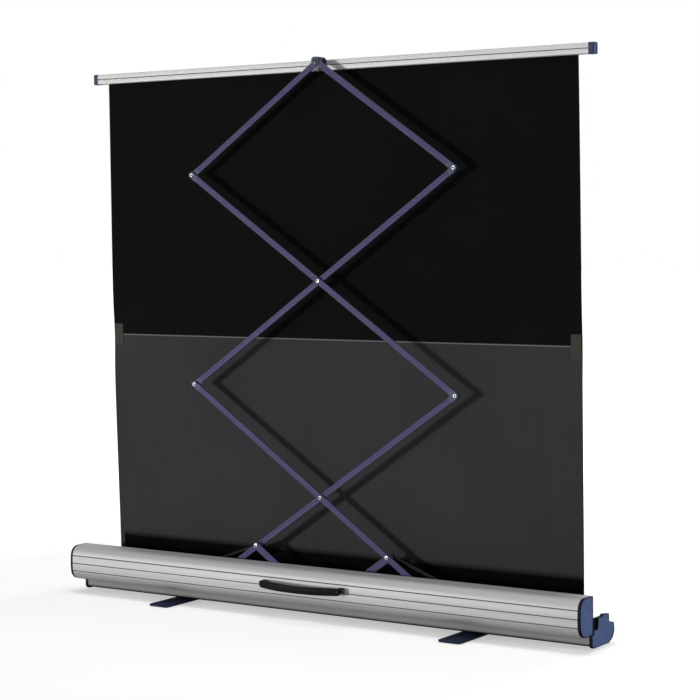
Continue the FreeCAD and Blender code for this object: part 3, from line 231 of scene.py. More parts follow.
def lined(piece, material, windows):
    """Gives another finish to the faces whose middle lies in a window of the section, each window
    being two places along Y and two heights."""
    mesh = piece.data
    middles = np.zeros(3 * len(mesh.polygons))
    mesh.polygons.foreach_get("center", middles)
    finishes = np.zeros(len(mesh.polygons), int)
    mesh.polygons.foreach_get("material_index", finishes)
    middles = middles.reshape(-1, 3)
    for rear, front, low, high in windows:
        along_y = (middles[:, 1] > rear) & (middles[:, 1] < front)
        finishes[along_y & (middles[:, 2] > low) & (middles[:, 2] < high)] = len(mesh.materials)
    mesh.materials.append(material)
    mesh.polygons.foreach_set("material_index", finishes)


def settled(piece, nodes, bevel):
    """Softens the edges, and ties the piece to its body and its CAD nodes."""
    if bevel:
        soft = piece.modifiers.new("soft_edges", "BEVEL")
        soft.width = bevel
        soft.segments = 2
        soft.limit_method = "ANGLE"
        soft.angle_limit = math.radians(40)
    if nodes:
        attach(piece, BODY_OF[nodes[0]])
        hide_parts(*nodes)
    return piece


def polished(node, material, bevel):
    """A copy of a rigid CAD node with its loose triangles merged and its edges softened."""
    mesh = frame["nodes"][node].data.copy()
    mesh.materials.clear()
    mesh.materials.append(material)
    mesh.polygons.foreach_set("material_index", [0] * len(mesh.polygons))
    finished(mesh, 0.02 * mm, 30)
    return settled(in_scene(node + "_finished", mesh), [node], bevel)


# ---- materials ----


def linear(hex_colour):
    """An sRGB hex colour as the linear values that a shader takes."""
    parts = [int(hex_colour[place:place + 2], 16) / 255 for place in (1, 3, 5)]
    return tuple(p / 12.92 if p <= 0.04045 else ((p + 0.055) / 1.055) ** 2.4 for p in parts) + (1,)


def add(tree, kind, settings=None, inputs=None):
    """Adds one node with its settings; each input takes a value or another node's output."""
    node = tree.nodes.new(kind)
    for word, value in (settings or {}).items():
        setattr(node, word, value)
    for socket, value in (inputs or {}).items():
        if isinstance(value, bpy.types.NodeSocket):
            tree.links.new(value, node.inputs[socket])
        else:
            node.inputs[socket].default_value = value
    return node


def surface(name, colour, roughness, metallic=0.0, **more):
    """A material with its one shader. More holds the names of sockets, with spaces as underscores."""
    material = bpy.data.materials.new(name)
    material.use_nodes = True
    tree = material.node_tree
    tree.nodes.clear()
    inputs = {"Base Color": linear(colour), "Roughness": roughness, "Metallic": metallic}
    inputs.update({word.replace("_", " "): value for word, value in more.items()})
    shader = add(tree, "ShaderNodeBsdfPrincipled", inputs=inputs)
    add(tree, "ShaderNodeOutputMaterial", inputs={"Surface": shader.outputs[0]})
    return material, tree, shader


def pattern(tree, source, grain, detail=2.0):
    """Noise over the Object or UV coordinates, with its grain in metres along each axis."""
    coords = add(tree, "ShaderNodeTexCoord")
    placed = add(tree, "ShaderNodeMapping", inputs={
        "Vector": coords.outputs[source], "Scale": tuple(1 / size for size in grain)})
    noise = add(tree, "ShaderNodeTexNoise", inputs={
        "Vector": placed.outputs[0], "Scale": 1.0, "Detail": detail})
    return noise.outputs["Fac"]


# The values between which one noise keeps, and the sum of two.
NOISE_ENDS = (0.3, 0.7)
SUM_ENDS = (0.7, 1.3)


def joined(tree, operation, *values):
    """One sum or product of numbers or other nodes' outputs."""
    return add(tree, "ShaderNodeMath", {"operation": operation}, dict(enumerate(values))).outputs[0]


def between(tree, factor, low, high, low_out, high_out):
    """Maps a factor from low..high to low_out..high_out and stops there."""
    ranged = add(tree, "ShaderNodeMapRange", inputs={
        "Value": factor, "From Min": low, "From Max": high, "To Min": low_out, "To Max": high_out})
    return ranged.outputs[0]


def mixed(tree, shader, factor, first, second):
    """Gives the shader a mix of two colours by a factor."""
    mix = add(tree, "ShaderNodeMix", {"data_type": "RGBA"}, {0: factor, 6: first, 7: second})
    tree.links.new(mix.outputs[2], shader.inputs["Base Color"])
    return mix.outputs[2]


def tinted(tree, shader, factor, ends, dark, light):
    """Colours the shader from dark to light as the factor goes from one end to the other."""
    return mixed(tree, shader, between(tree, factor, *ends, 0.0, 1.0), linear(dark), linear(light))


def dulled(tree, shader, noise, smooth, rough):
    """Lets the roughness wander with a noise between two values."""
    tree.links.new(between(tree, noise, *NOISE_ENDS, smooth, rough), shader.inputs["Roughness"])


def bumped(tree, shader, height, depth, strength):
    """Raises the surface by height times depth in metres."""
    bump = add(tree, "ShaderNodeBump", inputs={"Height": height, "Distance": depth, "Strength": strength})
    tree.links.new(bump.outputs[0], shader.inputs["Normal"])


def extruded_aluminium(name, dark, light, roughness, metallic=0.5):
    """Extruded and satin anodised aluminium: a soft grey sheen with faint lines along its length,
    left by the die about 1.5 mm apart, and wider bands where the metal flowed unevenly."""
    material, tree, shader = surface(name, light, roughness, metallic)
    lines = pattern(tree, "Object", (0.7, 1.5 * mm, 1.5 * mm))
    bands = pattern(tree, "Object", (1.2, 12 * mm, 12 * mm), 1.0)
    tinted(tree, shader, joined(tree, "ADD", lines, bands), SUM_ENDS, dark, light)
    dulled(tree, shader, lines, roughness - 0.05, roughness + 0.06)
    bumped(tree, shader, lines, 0.03 * mm, 0.6)
    return material


def moulded_plastic(name, dark, light, roughness, gloss=0.3):
    """Injection moulded ABS with a spark-eroded grain 0.5 mm across: fine and even, slightly cloudy."""
    material, tree, shader = surface(name, light, roughness, IOR=1.53, Specular_IOR_Level=gloss)
    grain = pattern(tree, "Object", (0.5 * mm,) * 3)
    cloud = pattern(tree, "Object", (18 * mm,) * 3)
    tinted(tree, shader, cloud, NOISE_ENDS, dark, light)
    bumped(tree, shader, grain, 0.05 * mm, 0.5)
    return material


def anodised_tube():
    """Drawn aluminium tube, anodised and dyed violet: a dull metallic sheen with lines along the arm."""
    material, tree, shader = surface("anodised_violet_tube", "#463e6c", 0.6, 0.35)
    lines = pattern(tree, "UV", (0.25, 0.9 * mm, 1.0))
    patches = pattern(tree, "UV", (0.12, 9 * mm, 1.0))
    tinted(tree, shader, joined(tree, "ADD", lines, patches), SUM_ENDS, "#211c40", "#2f2951")
    bumped(tree, shader, lines, 0.03 * mm, 0.6)
    return material


def plated_steel():
    """Steel, zinc plated and passivated: pale, bright, with faint spangles about 2 mm across."""
    material, tree, shader = surface("zinc_plated_steel", "#b4b6b8", 0.3, 1.0)
    spangle = pattern(tree, "Object", (2 * mm,) * 3)
    tinted(tree, shader, spangle, NOISE_ENDS, "#a2a4a6", "#c4c5c6")
    dulled(tree, shader, spangle, 0.22, 0.36)
    return material


def enamelled_steel(name, dark, light, roughness, coat, peel_depth=0.04 * mm, gloss=0.2):
    """Stoved enamel on steel: a smooth coat with a slight orange peel about 1.5 mm across."""
    material, tree, shader = surface(
        name, light, roughness, Coat_Weight=coat, Coat_Roughness=0.2, Specular_IOR_Level=gloss)
    peel = pattern(tree, "Object", (1.5 * mm,) * 3)
    cloud = pattern(tree, "Object", (30 * mm,) * 3)
    tinted(tree, shader, cloud, NOISE_ENDS, dark, light)
    bumped(tree, shader, peel, peel_depth, 0.4)
    return material


def nitrided_rod():
    """Piston rod, nitrided and polished: nearly black with a pale yellowish highlight along it, and
    patches about 8 mm across where the polish is duller."""
    material, tree, shader = surface("black_nitrided_rod", "#1e1d17", 0.3, 1.0)
    dulled(tree, shader, pattern(tree, "Object", (8 * mm,) * 3), 0.28, 0.36)
    return material


def soft_rubber(name, dark, light, roughness):
    """Moulded rubber with a fine leather-like grain about 1 mm across: matt, with soft highlights."""
    material, tree, shader = surface(name, light, roughness, IOR=1.52, Specular_IOR_Level=0.08)
    coords = add(tree, "ShaderNodeTexCoord")
    cells = add(tree, "ShaderNodeTexVoronoi", {"feature": "SMOOTH_F1"}, {
        "Vector": coords.outputs["Object"], "Scale": 1 / (1.1 * mm)})
    tinted(tree, shader, pattern(tree, "Object", (14 * mm,) * 3), NOISE_ENDS, dark, light)
    bumped(tree, shader, cells.outputs["Distance"], 0.12 * mm, 0.7)
    return material


def wave(tree, vector, direction, period):
    """A sine wave of the given period in metres along u or v. The texture turns 20 radians a unit."""
    return add(tree, "ShaderNodeTexWave", {"wave_type": "BANDS", "bands_direction": direction}, {
        "Vector": vector, "Scale": 2 * math.pi / 20 / period}).outputs["Fac"]


# A cloth's shade and its height are sums, in which the weave counts once and its ribs and soft
# clouds as much as these. The shade's sum keeps between WEAVE_ENDS.
RIB_SHADE = 0.6
RIB_RISE = 0.8
CLOUD_SHADE = 0.8
WEAVE_ENDS = (0.2, 1.4)


def woven_backing(name, dark, light, roughness, thread, rib=None, gloss=0.05):
    """The cloth's rear: glass-fibre weave with a coloured coating. Its threads lie thread metres apart,
    coarser than life so that they show, and a ribbed cloth has upright ribs rib metres apart."""
    material, tree, shader = surface(name, light, roughness, IOR=1.45, Specular_IOR_Level=gloss)
    coords = add(tree, "ShaderNodeTexCoord").outputs["UV"]
    height = joined(tree, "MULTIPLY", wave(tree, coords, "X", thread), wave(tree, coords, "Y", thread))
    shade = height
    if rib:
        ribs = wave(tree, coords, "X", rib)
        shade = joined(tree, "MULTIPLY_ADD", ribs, RIB_SHADE, height)
        height = joined(tree, "MULTIPLY_ADD", ribs, RIB_RISE, height)
    shade = joined(tree, "MULTIPLY_ADD", pattern(tree, "UV", (0.35, 0.5, 1.0)), CLOUD_SHADE, shade)
    colour = tinted(tree, shader, shade, WEAVE_ENDS, dark, light)
    bumped(tree, shader, height, 0.12 * mm, 0.6)
    return material, tree, shader, colour, coords


# The audience side's picture is 4:3 and as wide as the cloth less a black border on each side.
PICTURE_HALF = 780 * mm
PICTURE_HIGH = 1520 * mm
PICTURE_LOW = PICTURE_HIGH - 2 * PICTURE_HALF * 3 / 4
# A painted shadow of the case lies on the cloth: black up to a soft edge above the case, from a little inside the
# cloth's left edge.
SHADOW_BAND_TOP = 176 * mm
SHADOW_BAND_FADE = 9 * mm
CLOTH_HALF = 810 * mm
SHADOW_LEFT_INSET = 15 * mm


def screen_face():
    """The audience side: matt white coating with a fine tooth, framed in black and black below."""
    material, tree, shader = surface("matt_white_screen_coating", "#eeeeec", 0.85, IOR=1.45)
    coords = add(tree, "ShaderNodeTexCoord")
    apart = add(tree, "ShaderNodeSeparateXYZ", inputs={"Vector": coords.outputs["UV"]})
    across = joined(tree, "ABSOLUTE", apart.outputs[0])
    inside = between(tree, across, PICTURE_HALF, PICTURE_HALF + mm, 1.0, 0.0)
    above = between(tree, apart.outputs[1], PICTURE_LOW - mm, PICTURE_LOW, 0.0, 1.0)
    below = between(tree, apart.outputs[1], PICTURE_HIGH, PICTURE_HIGH + mm, 1.0, 0.0)
    area = joined(tree, "MULTIPLY", joined(tree, "MULTIPLY", inside, above), below)
    mixed(tree, shader, area, linear("#141415"), linear("#eeeeec"))
    bumped(tree, shader, pattern(tree, "UV", (1.2 * mm, 1.2 * mm, 1.0)), 0.05 * mm, 0.5)
    return material


def lower_backing():
    """Grey ribbed cloth with a painted shadow of the case: near black in a strip above the case, from a little
    inside the cloth's left edge.
    """
    material, tree, shader, colour, coords = woven_backing(
        "ribbed_grey_cloth_back", "#282829", "#3c3c3e", 0.8, 2.2 * mm, rib=7 * mm, gloss=0.02)
    apart = add(tree, "ShaderNodeSeparateXYZ", inputs={"Vector": coords})
    # Painted shadow: the cloth turns near black below the shadow's top, except at its left edge.
    shadow_start = SHADOW_LEFT_INSET - CLOTH_HALF
    clear = between(tree, apart.outputs[0], shadow_start, shadow_start + mm, 0.0, 1.0)
    painted_shadow = between(tree, apart.outputs[1], SHADOW_BAND_TOP - SHADOW_BAND_FADE, SHADOW_BAND_TOP + SHADOW_BAND_FADE, 1.0, 0.0)
    mixed(tree, shader, joined(tree, "MULTIPLY", painted_shadow, clear), colour, linear("#060606"))
    return material


lid_metal = extruded_aluminium("satin_anodised_lid", "#9c9c9d", "#acacad", 0.6)
# The base's metal is painted darker than the lid's, as the shade under the lid's overhang.
shaded_base_metal = extruded_aluminium("satin_anodised_base", "#767573", "#858482", 0.6)
bar_metal = extruded_aluminium("satin_anodised_bar", "#a2a2a3", "#b2b2b2", 0.58)
# The grooves' metal is darker, as painted shade in the grooves.
groove_painted_shade = extruded_aluminium("anodised_groove_floor", "#3c3c3d", "#4a4a4a", 0.7, 0.3)
roller_metal = extruded_aluminium("mill_finish_roller", "#9b9c9e", "#bcbdbe", 0.45)
cap_face = moulded_plastic("moulded_blue_cap", "#2f436f", "#384e7e", 0.6)
cap_rim = moulded_plastic("moulded_navy_rim", "#04060c", "#080a14", 0.5, gloss=0.08)
fitting_plastic = moulded_plastic("moulded_blue_fitting", "#131b3a", "#1c274c", 0.5)
black_plastic = moulded_plastic("moulded_black_nylon", "#0d0d0e", "#171718", 0.45)
tube_metal = anodised_tube()
steel = plated_steel()
black_enamel = enamelled_steel("black_stoved_enamel", "#0b0b0c", "#151516", 0.4, 0.3)
spring_enamel = enamelled_steel("gloss_black_enamel", "#060604", "#0c0c09", 0.22, 0.0, 0.01 * mm, gloss=0.08)
foot_enamel = enamelled_steel("navy_powder_coat", "#0e172c", "#16203a", 0.8, 0.0)
rod_steel = nitrided_rod()
rubber = soft_rubber("moulded_black_rubber", "#0a0a0a", "#131313", 0.7)
grip_rubber = soft_rubber("soft_grip_rubber", "#060707", "#0c0d0e", 0.55)
upper_back = woven_backing("black_satin_cloth_back", "#0a0a0a", "#111111", 0.7, 2.2 * mm, gloss=0.02)[0]
lower_back = lower_backing()
front_face = screen_face()
cut_edge = woven_backing("black_cut_edge", "#0a0a0a", "#121212", 0.7, 2.2 * mm)[0]
tab_vinyl = woven_backing("olive_grey_vinyl_tab", "#34352f", "#40413a", 0.6, 1.5 * mm)[0]
seam_tape = woven_backing("pale_seam_weld", "#575858", "#707070", 0.5, 1.5 * mm)[0]


# ---- camera, light, floor ----

LENS = 102.014
CAMERA_SPOT = Vector((3.2269, -4.7167, 1.1198))
YAW = math.radians(33.727)
PITCH = math.radians(3.502)
ROLL = math.radians(-0.5558)


def set_camera():
    """The photo's view: the camera's axes follow from its yaw, pitch and roll."""
    ahead = Vector((-math.sin(YAW) * math.cos(PITCH), math.cos(YAW) * math.cos(PITCH), -math.sin(PITCH)))
    level = Vector((math.cos(YAW), math.sin(YAW), 0))
    above = level.cross(ahead)
    right = math.cos(ROLL) * level + math.sin(ROLL) * above
    up = math.cos(ROLL) * above - math.sin(ROLL) * level
    data = bpy.data.cameras.new("camera")
    data.sensor_width = 36
    data.lens = LENS
    data.clip_end = 200
    camera = in_scene("camera", data)
    camera.matrix_world = Matrix.Translation(CAMERA_SPOT) @ Matrix((right, up, -ahead)).transposed().to_4x4()
    bpy.context.scene.camera = camera


# Each lamp's place, the spot it faces, its side in metres and its power in watts.
LAMPS = {
    "side_lamp": ((-4.4, -6.8, 0.48), (0, 0, 0.8), 0.9, 400),
    "top_lamp": ((0.2, -0.4, 4.5), (0, -0.1, 0.3), 3.0, 100),
    "end_lamp": ((4.6, -0.4, 0.9), (0.8, 0, 0.4), 1.6, 70),
    "front_lamp": ((0.8, 5.0, 0.8), (0, 0, 0.8), 1.5, 135),
}
ROOM_LIGHT = 0.1


def set_light():
    """A low lamp from the left, one above, one for the right end, one for the audience side, and a
    weak even room light. What the camera sees past the floor, or a gloss mirrors, is white."""
    for name, (spot, target, size, power) in LAMPS.items():
        data = bpy.data.lights.new(name, "AREA")
        data.shape = "SQUARE"
        data.size = size
        data.energy = power
        lamp = in_scene(name, data)
        lamp.location = spot
        lamp.rotation_euler = (Vector(target) - Vector(spot)).to_track_quat("-Z", "Y").to_euler()
    world = bpy.data.worlds.new("room")
    bpy.context.scene.world = world
    world.use_nodes = True
    tree = world.node_tree
    tree.nodes.clear()
    path = add(tree, "ShaderNodeLightPath")
    seen = joined(tree, "MAXIMUM", path.outputs["Is Camera Ray"], path.outputs["Is Glossy Ray"])
    seen = joined(tree, "MAXIMUM", seen, path.outputs["Is Transmission Ray"])
    strength = between(tree, seen, 0.0, 1.0, ROOM_LIGHT, 1.0)
    room = add(tree, "ShaderNodeBackground", inputs={"Color": (1, 1, 1, 1), "Strength": strength})
    add(tree, "ShaderNodeOutputWorld", inputs={"Surface": room.outputs[0]})


FLOOR_HALF = 40.0
# The floor's glow to the camera, and the distances over which it grows to full white.
FLOOR_GLOW = 0.45
FLOOR_NEAR = 1.4
FLOOR_FAR = 3.5


def set_floor():
    """A white floor. Seen by the camera it also glows, more so further out, so that it meets the
    background, and near the object its shadow stays."""
    side = np.array([(-1, -1, 0), (1, -1, 0), (1, 1, 0), (-1, 1, 0)]) * FLOOR_HALF
    mesh = bpy.data.meshes.new("floor")
    mesh.from_pydata(side.tolist(), [], [[0, 1, 2, 3]])
    material, tree, shader = surface("matt_white_floor", "#e9e9e8", 0.9)
    path = add(tree, "ShaderNodeLightPath")
    coords = add(tree, "ShaderNodeTexCoord")
    away = add(tree, "ShaderNodeVectorMath", {"operation": "LENGTH"}, {0: coords.outputs["Object"]})
    glow = between(tree, away.outputs["Value"], FLOOR_NEAR, FLOOR_FAR, FLOOR_GLOW, 1.0)
    shader.inputs["Emission Color"].default_value = (1, 1, 1, 1)
    strength = joined(tree, "MULTIPLY", path.outputs["Is Camera Ray"], glow)
    tree.links.new(strength, shader.inputs["Emission Strength"])
    mesh.materials.append(material)
    floor = in_scene("floor", mesh)


set_camera()
set_light()
set_floor()


# ---- the case: base trough, lid and their end caps ----

trough_low, trough_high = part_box("base_trough")
case_low, case_high = trough_low.x, trough_high.x
BASE_BOTTOM = trough_low.z
BASE_TOP = trough_high.z
BASE_FRONT = trough_high.y
BASE_DEPTH = 2 * BASE_FRONT
BASE_FLOOR = 3 * mm
# The rounds of the base's lower edges, of the beam's small corners and of the beam's hollow.
FRONT_ROUND = 18 * mm
REAR_ROUND = 12 * mm
SMALL_ROUND = 1 * mm
HOLLOW_ROUND = 6 * mm
WALL = 2.5 * mm
BEAM_DEPTH = 24 * mm
REAR_WALL_TOP = 44 * mm
BEAD_RADIUS = 3 * mm
BEAD_SPOT = (2 * mm - BASE_DEPTH / 2, REAR_WALL_TOP + 2.5 * mm)
SCISSOR_Y = PIVOT["screen_fold"][1]
RIB_OFFSET = 9.5 * mm
RIB_WIDTH = 2 * mm
RIB_HEIGHT = 7 * mm
RIB_ROUND = 0.6 * mm


def arc(centre, radius, first, last, steps=14):
    """Points on an arc in Y and Z between two angles in degrees, measured from +Y towards +Z."""
    angle = np.radians(np.linspace(first, last, steps))
    return np.column_stack([centre[0] + radius * np.cos(angle), centre[1] + radius * np.sin(angle)])


def trough_section():
    """Section of the trough: rear wall with its round hinge bead, floor with two ribs, hollow beam."""
    rear = -BASE_DEPTH / 2
    top = BASE_BOTTOM + BASE_FLOOR
    beam = BASE_FRONT - BEAM_DEPTH
    ribs = []
    for low in (SCISSOR_Y - RIB_OFFSET - RIB_WIDTH, SCISSOR_Y + RIB_OFFSET):
        crest = top + RIB_HEIGHT
        ribs += [(low, top, 0), (low, crest, RIB_ROUND),
                 (low + RIB_WIDTH, crest, RIB_ROUND), (low + RIB_WIDTH, top, 0)]
    bead = arc(BEAD_SPOT, BEAD_RADIUS, -50, 222)
    inside = rounded(ribs + [
        (beam, top, SMALL_ROUND), (beam, BASE_TOP, SMALL_ROUND), (BASE_FRONT, BASE_TOP, 3 * mm),
        (BASE_FRONT, BASE_BOTTOM, FRONT_ROUND), (rear, BASE_BOTTOM, REAR_ROUND), (rear, REAR_WALL_TOP, 0)])
    corner = rounded([(rear + WALL, REAR_WALL_TOP, 0), (rear + WALL, top, 9 * mm), ribs[0]])[1:-1]
    outer = np.concatenate([bead[::-1], corner, inside[:-1]])
    hollow = rounded([
        (beam + WALL, BASE_BOTTOM + WALL, SMALL_ROUND),
        (BASE_FRONT - FRONT_ROUND, BASE_BOTTOM + WALL, HOLLOW_ROUND),
        (BASE_FRONT - WALL, BASE_BOTTOM + FRONT_ROUND, HOLLOW_ROUND),
        (BASE_FRONT - WALL, BASE_TOP - WALL, SMALL_ROUND), (beam + WALL, BASE_TOP - WALL, SMALL_ROUND)])
    return [outer, hollow]


# The trough's underside and the foot of its rear round get black enamel as painted shade, which shows as a thin
# dark line between the case and the floor.
SHADED_UNDERSIDE_RISE = 2.9 * mm
SHADED_ROUND_RISE = 4.5 * mm
SHADED_ROUND_REACH = 6 * mm
trough = make("base_trough_extrusion", ["base_trough"],
              [(drawn(trough_section(), case_low, case_high), shaded_base_metal)], bevel=0.3 * mm)
lined(trough, black_enamel, [
    (-BASE_DEPTH, BASE_DEPTH, BASE_BOTTOM - mm, BASE_BOTTOM + SHADED_UNDERSIDE_RISE),
    (-BASE_DEPTH, SHADED_ROUND_REACH - BASE_DEPTH / 2, BASE_BOTTOM - mm, BASE_BOTTOM + SHADED_ROUND_RISE)])

LID_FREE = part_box("lid_cap_right")[1].y
LID_LOW, LID_HIGH = (corner.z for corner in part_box("lid_cap_right"))
LID_DEPTH = 75 * mm
LID_CROWN = 3.5 * mm
LID_LIP = 6 * mm
LID_ROUNDS = (30 * mm, 200 * mm, 34 * mm)
GROOVE_WIDTH = 2.6 * mm
GROOVE_DEPTH = 1.2 * mm
GROOVE_PITCH = 23.5 * mm
# A groove is a V with a flat floor: its flanks fall this many times its depth over half its width.
GROOVE_FALL = 2.5
# Faces are a groove's own from GROOVE_ROOM behind its floor to GROOVE_REACH outside that.
GROOVE_ROOM = 0.2 * mm
GROOVE_REACH = 1.5 * mm
FACE_STEPS = 700
LID_CREST = LID_FREE - LID_DEPTH
LID_MIDDLE = (LID_LOW + LID_HIGH) / 2
# How far the round of the crest lies inside its corner.
CREST_FALL = 0.45 * mm
HOOK_CLEARANCE = 0.35 * mm
HOOK_THICKNESS = 1.85 * mm
HOOK_INNER = BEAD_RADIUS + HOOK_CLEARANCE
HOOK_OUTER = HOOK_INNER + HOOK_THICKNESS
# The hook's angles round the bead: its tip, and where its outside and inside meet the shell.
HOOK_TIP = 45
HOOK_ENDS = (214, 226)


def lid_outside(step=0.0):
    """The lid's outer corners with their rounds, moved inwards by a wall where step is given."""
    upper, crest, lower = LID_ROUNDS
    return [(LID_CREST + LID_CROWN + step, LID_HIGH - step, upper - step),
            (LID_CREST + step, LID_MIDDLE, crest - step),
            (LID_CREST + LID_CROWN + step, LID_LOW + step, lower - step)]


def grooved(outline):
    """Pushes the lid's face inwards along three lengthwise lines, after cutting it into fine steps."""
    ends = np.roll(outline, -1, 0)
    lengths = np.linalg.norm(ends - outline, axis=1)
    counts = np.maximum(np.ceil(lengths / lengths.sum() * FACE_STEPS).astype(int), 1)
    share = np.concatenate([np.arange(count) / count for count in counts])[:, None]
    fine = np.repeat(outline, counts, axis=0) * (1 - share) + np.repeat(ends, counts, axis=0) * share
    for line in (-1, 0, 1):
        off = np.abs(fine[:, 1] - (LID_MIDDLE + line * GROOVE_PITCH)) / (GROOVE_WIDTH / 2)
        # Only the face is cut, which lies near the crest, and not the line across the open side.
        face = fine[:, 0] < LID_CREST + 3 * LID_CROWN
        fine[:, 0] += np.where(face & (off < 1), GROOVE_DEPTH * np.minimum(1, GROOVE_FALL * (1 - off)), 0)
    return fine


def lid_section():
    """Section of the lid: lip at the free edge, curved face with grooves, and the hinge hook."""
    hook_y = BEAD_SPOT[0] - HOOK_INNER
    lip_low = LID_HIGH - LID_LIP
    face = grooved(rounded([(LID_FREE, LID_HIGH, 0)] + lid_outside() + [(hook_y, LID_LOW, 0)], 24))
    # The line that closes the outline across the open side is left out.
    face = face[(face[:, 0] < hook_y + 0.1 * mm) | (face[:, 1] > LID_HIGH - 0.1 * mm)]
    inner = rounded([(hook_y, LID_LOW + WALL, 0)] + lid_outside(WALL)[::-1]
                    + [(LID_FREE - WALL, LID_HIGH - WALL, 0)], 24)
    hook = np.concatenate([arc(BEAD_SPOT, HOOK_OUTER, HOOK_ENDS[0], HOOK_TIP, 26),
                           arc(BEAD_SPOT, HOOK_INNER, HOOK_TIP, HOOK_ENDS[1], 26)])
    lip = np.array([(LID_FREE - WALL, lip_low), (LID_FREE, lip_low)])
    return face, inner, hook, lip


def make_lid_shell():
    """Lid shell from its section: round the outside, along the inside, and back to the free edge. The faces in
    each groove get a darker metal as painted shade."""
    face, inner, hook, lip = lid_section()
    outline = np.concatenate([face, [(face[-1, 0], LID_LOW)], inner, lip])
    parts = [(drawn([loop], case_low, case_high), lid_metal) for loop in (outline, hook)]
    piece = make("lid_shell_extrusion", ["lid_shell"], parts, bevel=0.25 * mm)
    windows = []
    for line in (-1, 0, 1):
        middle = LID_MIDDLE + line * GROOVE_PITCH
        crown = LID_CROWN * GROOVE_PITCH / (LID_HIGH - LID_MIDDLE) if line else CREST_FALL
        floor = LID_CREST + crown + GROOVE_DEPTH + GROOVE_ROOM
        windows.append((floor - GROOVE_REACH, floor, middle - GROOVE_WIDTH / 2, middle + GROOVE_WIDTH / 2))
    lined(piece, groove_painted_shade, windows)


make_lid_shell()

CAP_THICKNESS = 9 * mm
RIM_ROUND = 1.5 * mm
RIM_WIDTH = 2.2 * mm
RIM_SLOPE = 0.4 * mm
FACE_DROP = 0.9 * mm


def cap_parts(outline, foot, out, rim_round, rim_width, face_drop, rim):
    """A moulded cap's parts from foot to out along X: a rounded rim round a slightly sunk blue face,
    and a flat inner side."""
    side = math.copysign(1, out - foot)
    rings = [(foot, 0)]
    for turn in np.linspace(0, math.pi / 2, 5):
        rings.append((out - side * rim_round * (1 - math.sin(turn)), rim_round * (1 - math.cos(turn))))
    rings += [(out, rim_width), (out - side * face_drop, rim_width + RIM_SLOPE)]
    sunk = flat_end(inset(outline, rim_width + RIM_SLOPE), rings[-1][0])
    return [(stepped(outline, rings), rim), (sunk, cap_face), (flat_end(outline, foot), rim)]


# The base cap's corners as shares of the base's depth and of the cap's height, with their rounds in
# millimetres.
CAP_CORNER_SHARES = [
    (-0.515, 0.09, 6), (-0.45, 0.0, 8), (0.27, 0.0, 12), (0.44, 0.13, 10), (0.515, 0.33, 10), (0.49, 0.62, 3),
    (0.34, 0.665, 3), (0.27, 0.715, 2), (0.262, 0.955, 2.5), (0.0, 1.0, 2.5), (-0.05, 0.93, 2),
    (-0.235, 0.93, 2.5), (-0.25, 0.585, 3), (-0.43, 0.585, 3)]
CAP_SHOULDER_SHARES = (-0.445, -0.515)
SHOULDER_DROP = 0.3 * mm
cap_low, cap_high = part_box("base_cap_right")


def base_cap_outline():
    """The base cap's outline, with its shoulder just under the lid."""
    rise = cap_high.z - cap_low.z
    corners = [(y * BASE_DEPTH, cap_low.z + z * rise, r * mm) for y, z, r in CAP_CORNER_SHARES]
    shoulder = LID_LOW - SHOULDER_DROP
    corners += [(CAP_SHOULDER_SHARES[0] * BASE_DEPTH, shoulder, 1 * mm),
                (CAP_SHOULDER_SHARES[1] * BASE_DEPTH, shoulder, 2 * mm)]
    return rounded(corners, 6)


def lid_cap_outline():
    """The lid cap's outline: the lid's own, closed along its open side."""
    return rounded([(LID_FREE, LID_HIGH, 1.5 * mm)] + lid_outside() + [
        (BEAD_SPOT[0], LID_LOW, 0), (LID_FREE, BEAD_SPOT[1], 0)], 20)


for word, side in (("left", -1), ("right", 1)):
    for cap, outline in (("base_cap_", base_cap_outline()), ("lid_cap_", lid_cap_outline())):
        make(cap + "moulding_" + word, [cap + word], cap_parts(
            outline, side * case_high, side * (case_high + CAP_THICKNESS),
            RIM_ROUND, RIM_WIDTH, FACE_DROP, cap_rim), smooth=40)


# ---- the scissor: arms, fittings, rivets and links ----

BASE_PIVOT = PIVOT["screen_fold"]
# Each arm runs from its lower pivot to its upper one.
ARMS = {
    "lower_arm_front": ("slider_right_pivot", "middle_left_pivot"),
    "lower_arm_back": ("slider_left_pivot", "middle_right_pivot"),
    "upper_arm_front": ("middle_right_pivot", "upper_left_pivot"),
    "upper_arm_back": ("middle_left_pivot", "upper_right_pivot"),
    "top_arm_front": ("upper_right_pivot", "apex_pivot"),
    "top_arm_back": ("upper_left_pivot", "apex_pivot"),
}
TUBE_HEIGHT = 18 * mm
TUBE_DEPTH = 6 * mm
TUBE_WALL = 1.2 * mm
TUBE_ROUND = 1.6 * mm
TUBE_GROOVE = 4 * mm
TUBE_GROOVE_DEPTH = 0.4 * mm
TUBE_GROOVE_ROUND = 0.3 * mm
FITTING_LENGTH = 24 * mm
FITTING_RADIUS = 9.5 * mm
# The small ribs across a fitting: where they lie, half their width and length, and how far they rise.
FITTING_RIBS = (12 * mm, 16 * mm, 20 * mm)
FITTING_RIB_HALF = 1.1 * mm
FITTING_RIB_REACH = 6 * mm
FITTING_RIB_RISE = 0.08 * mm


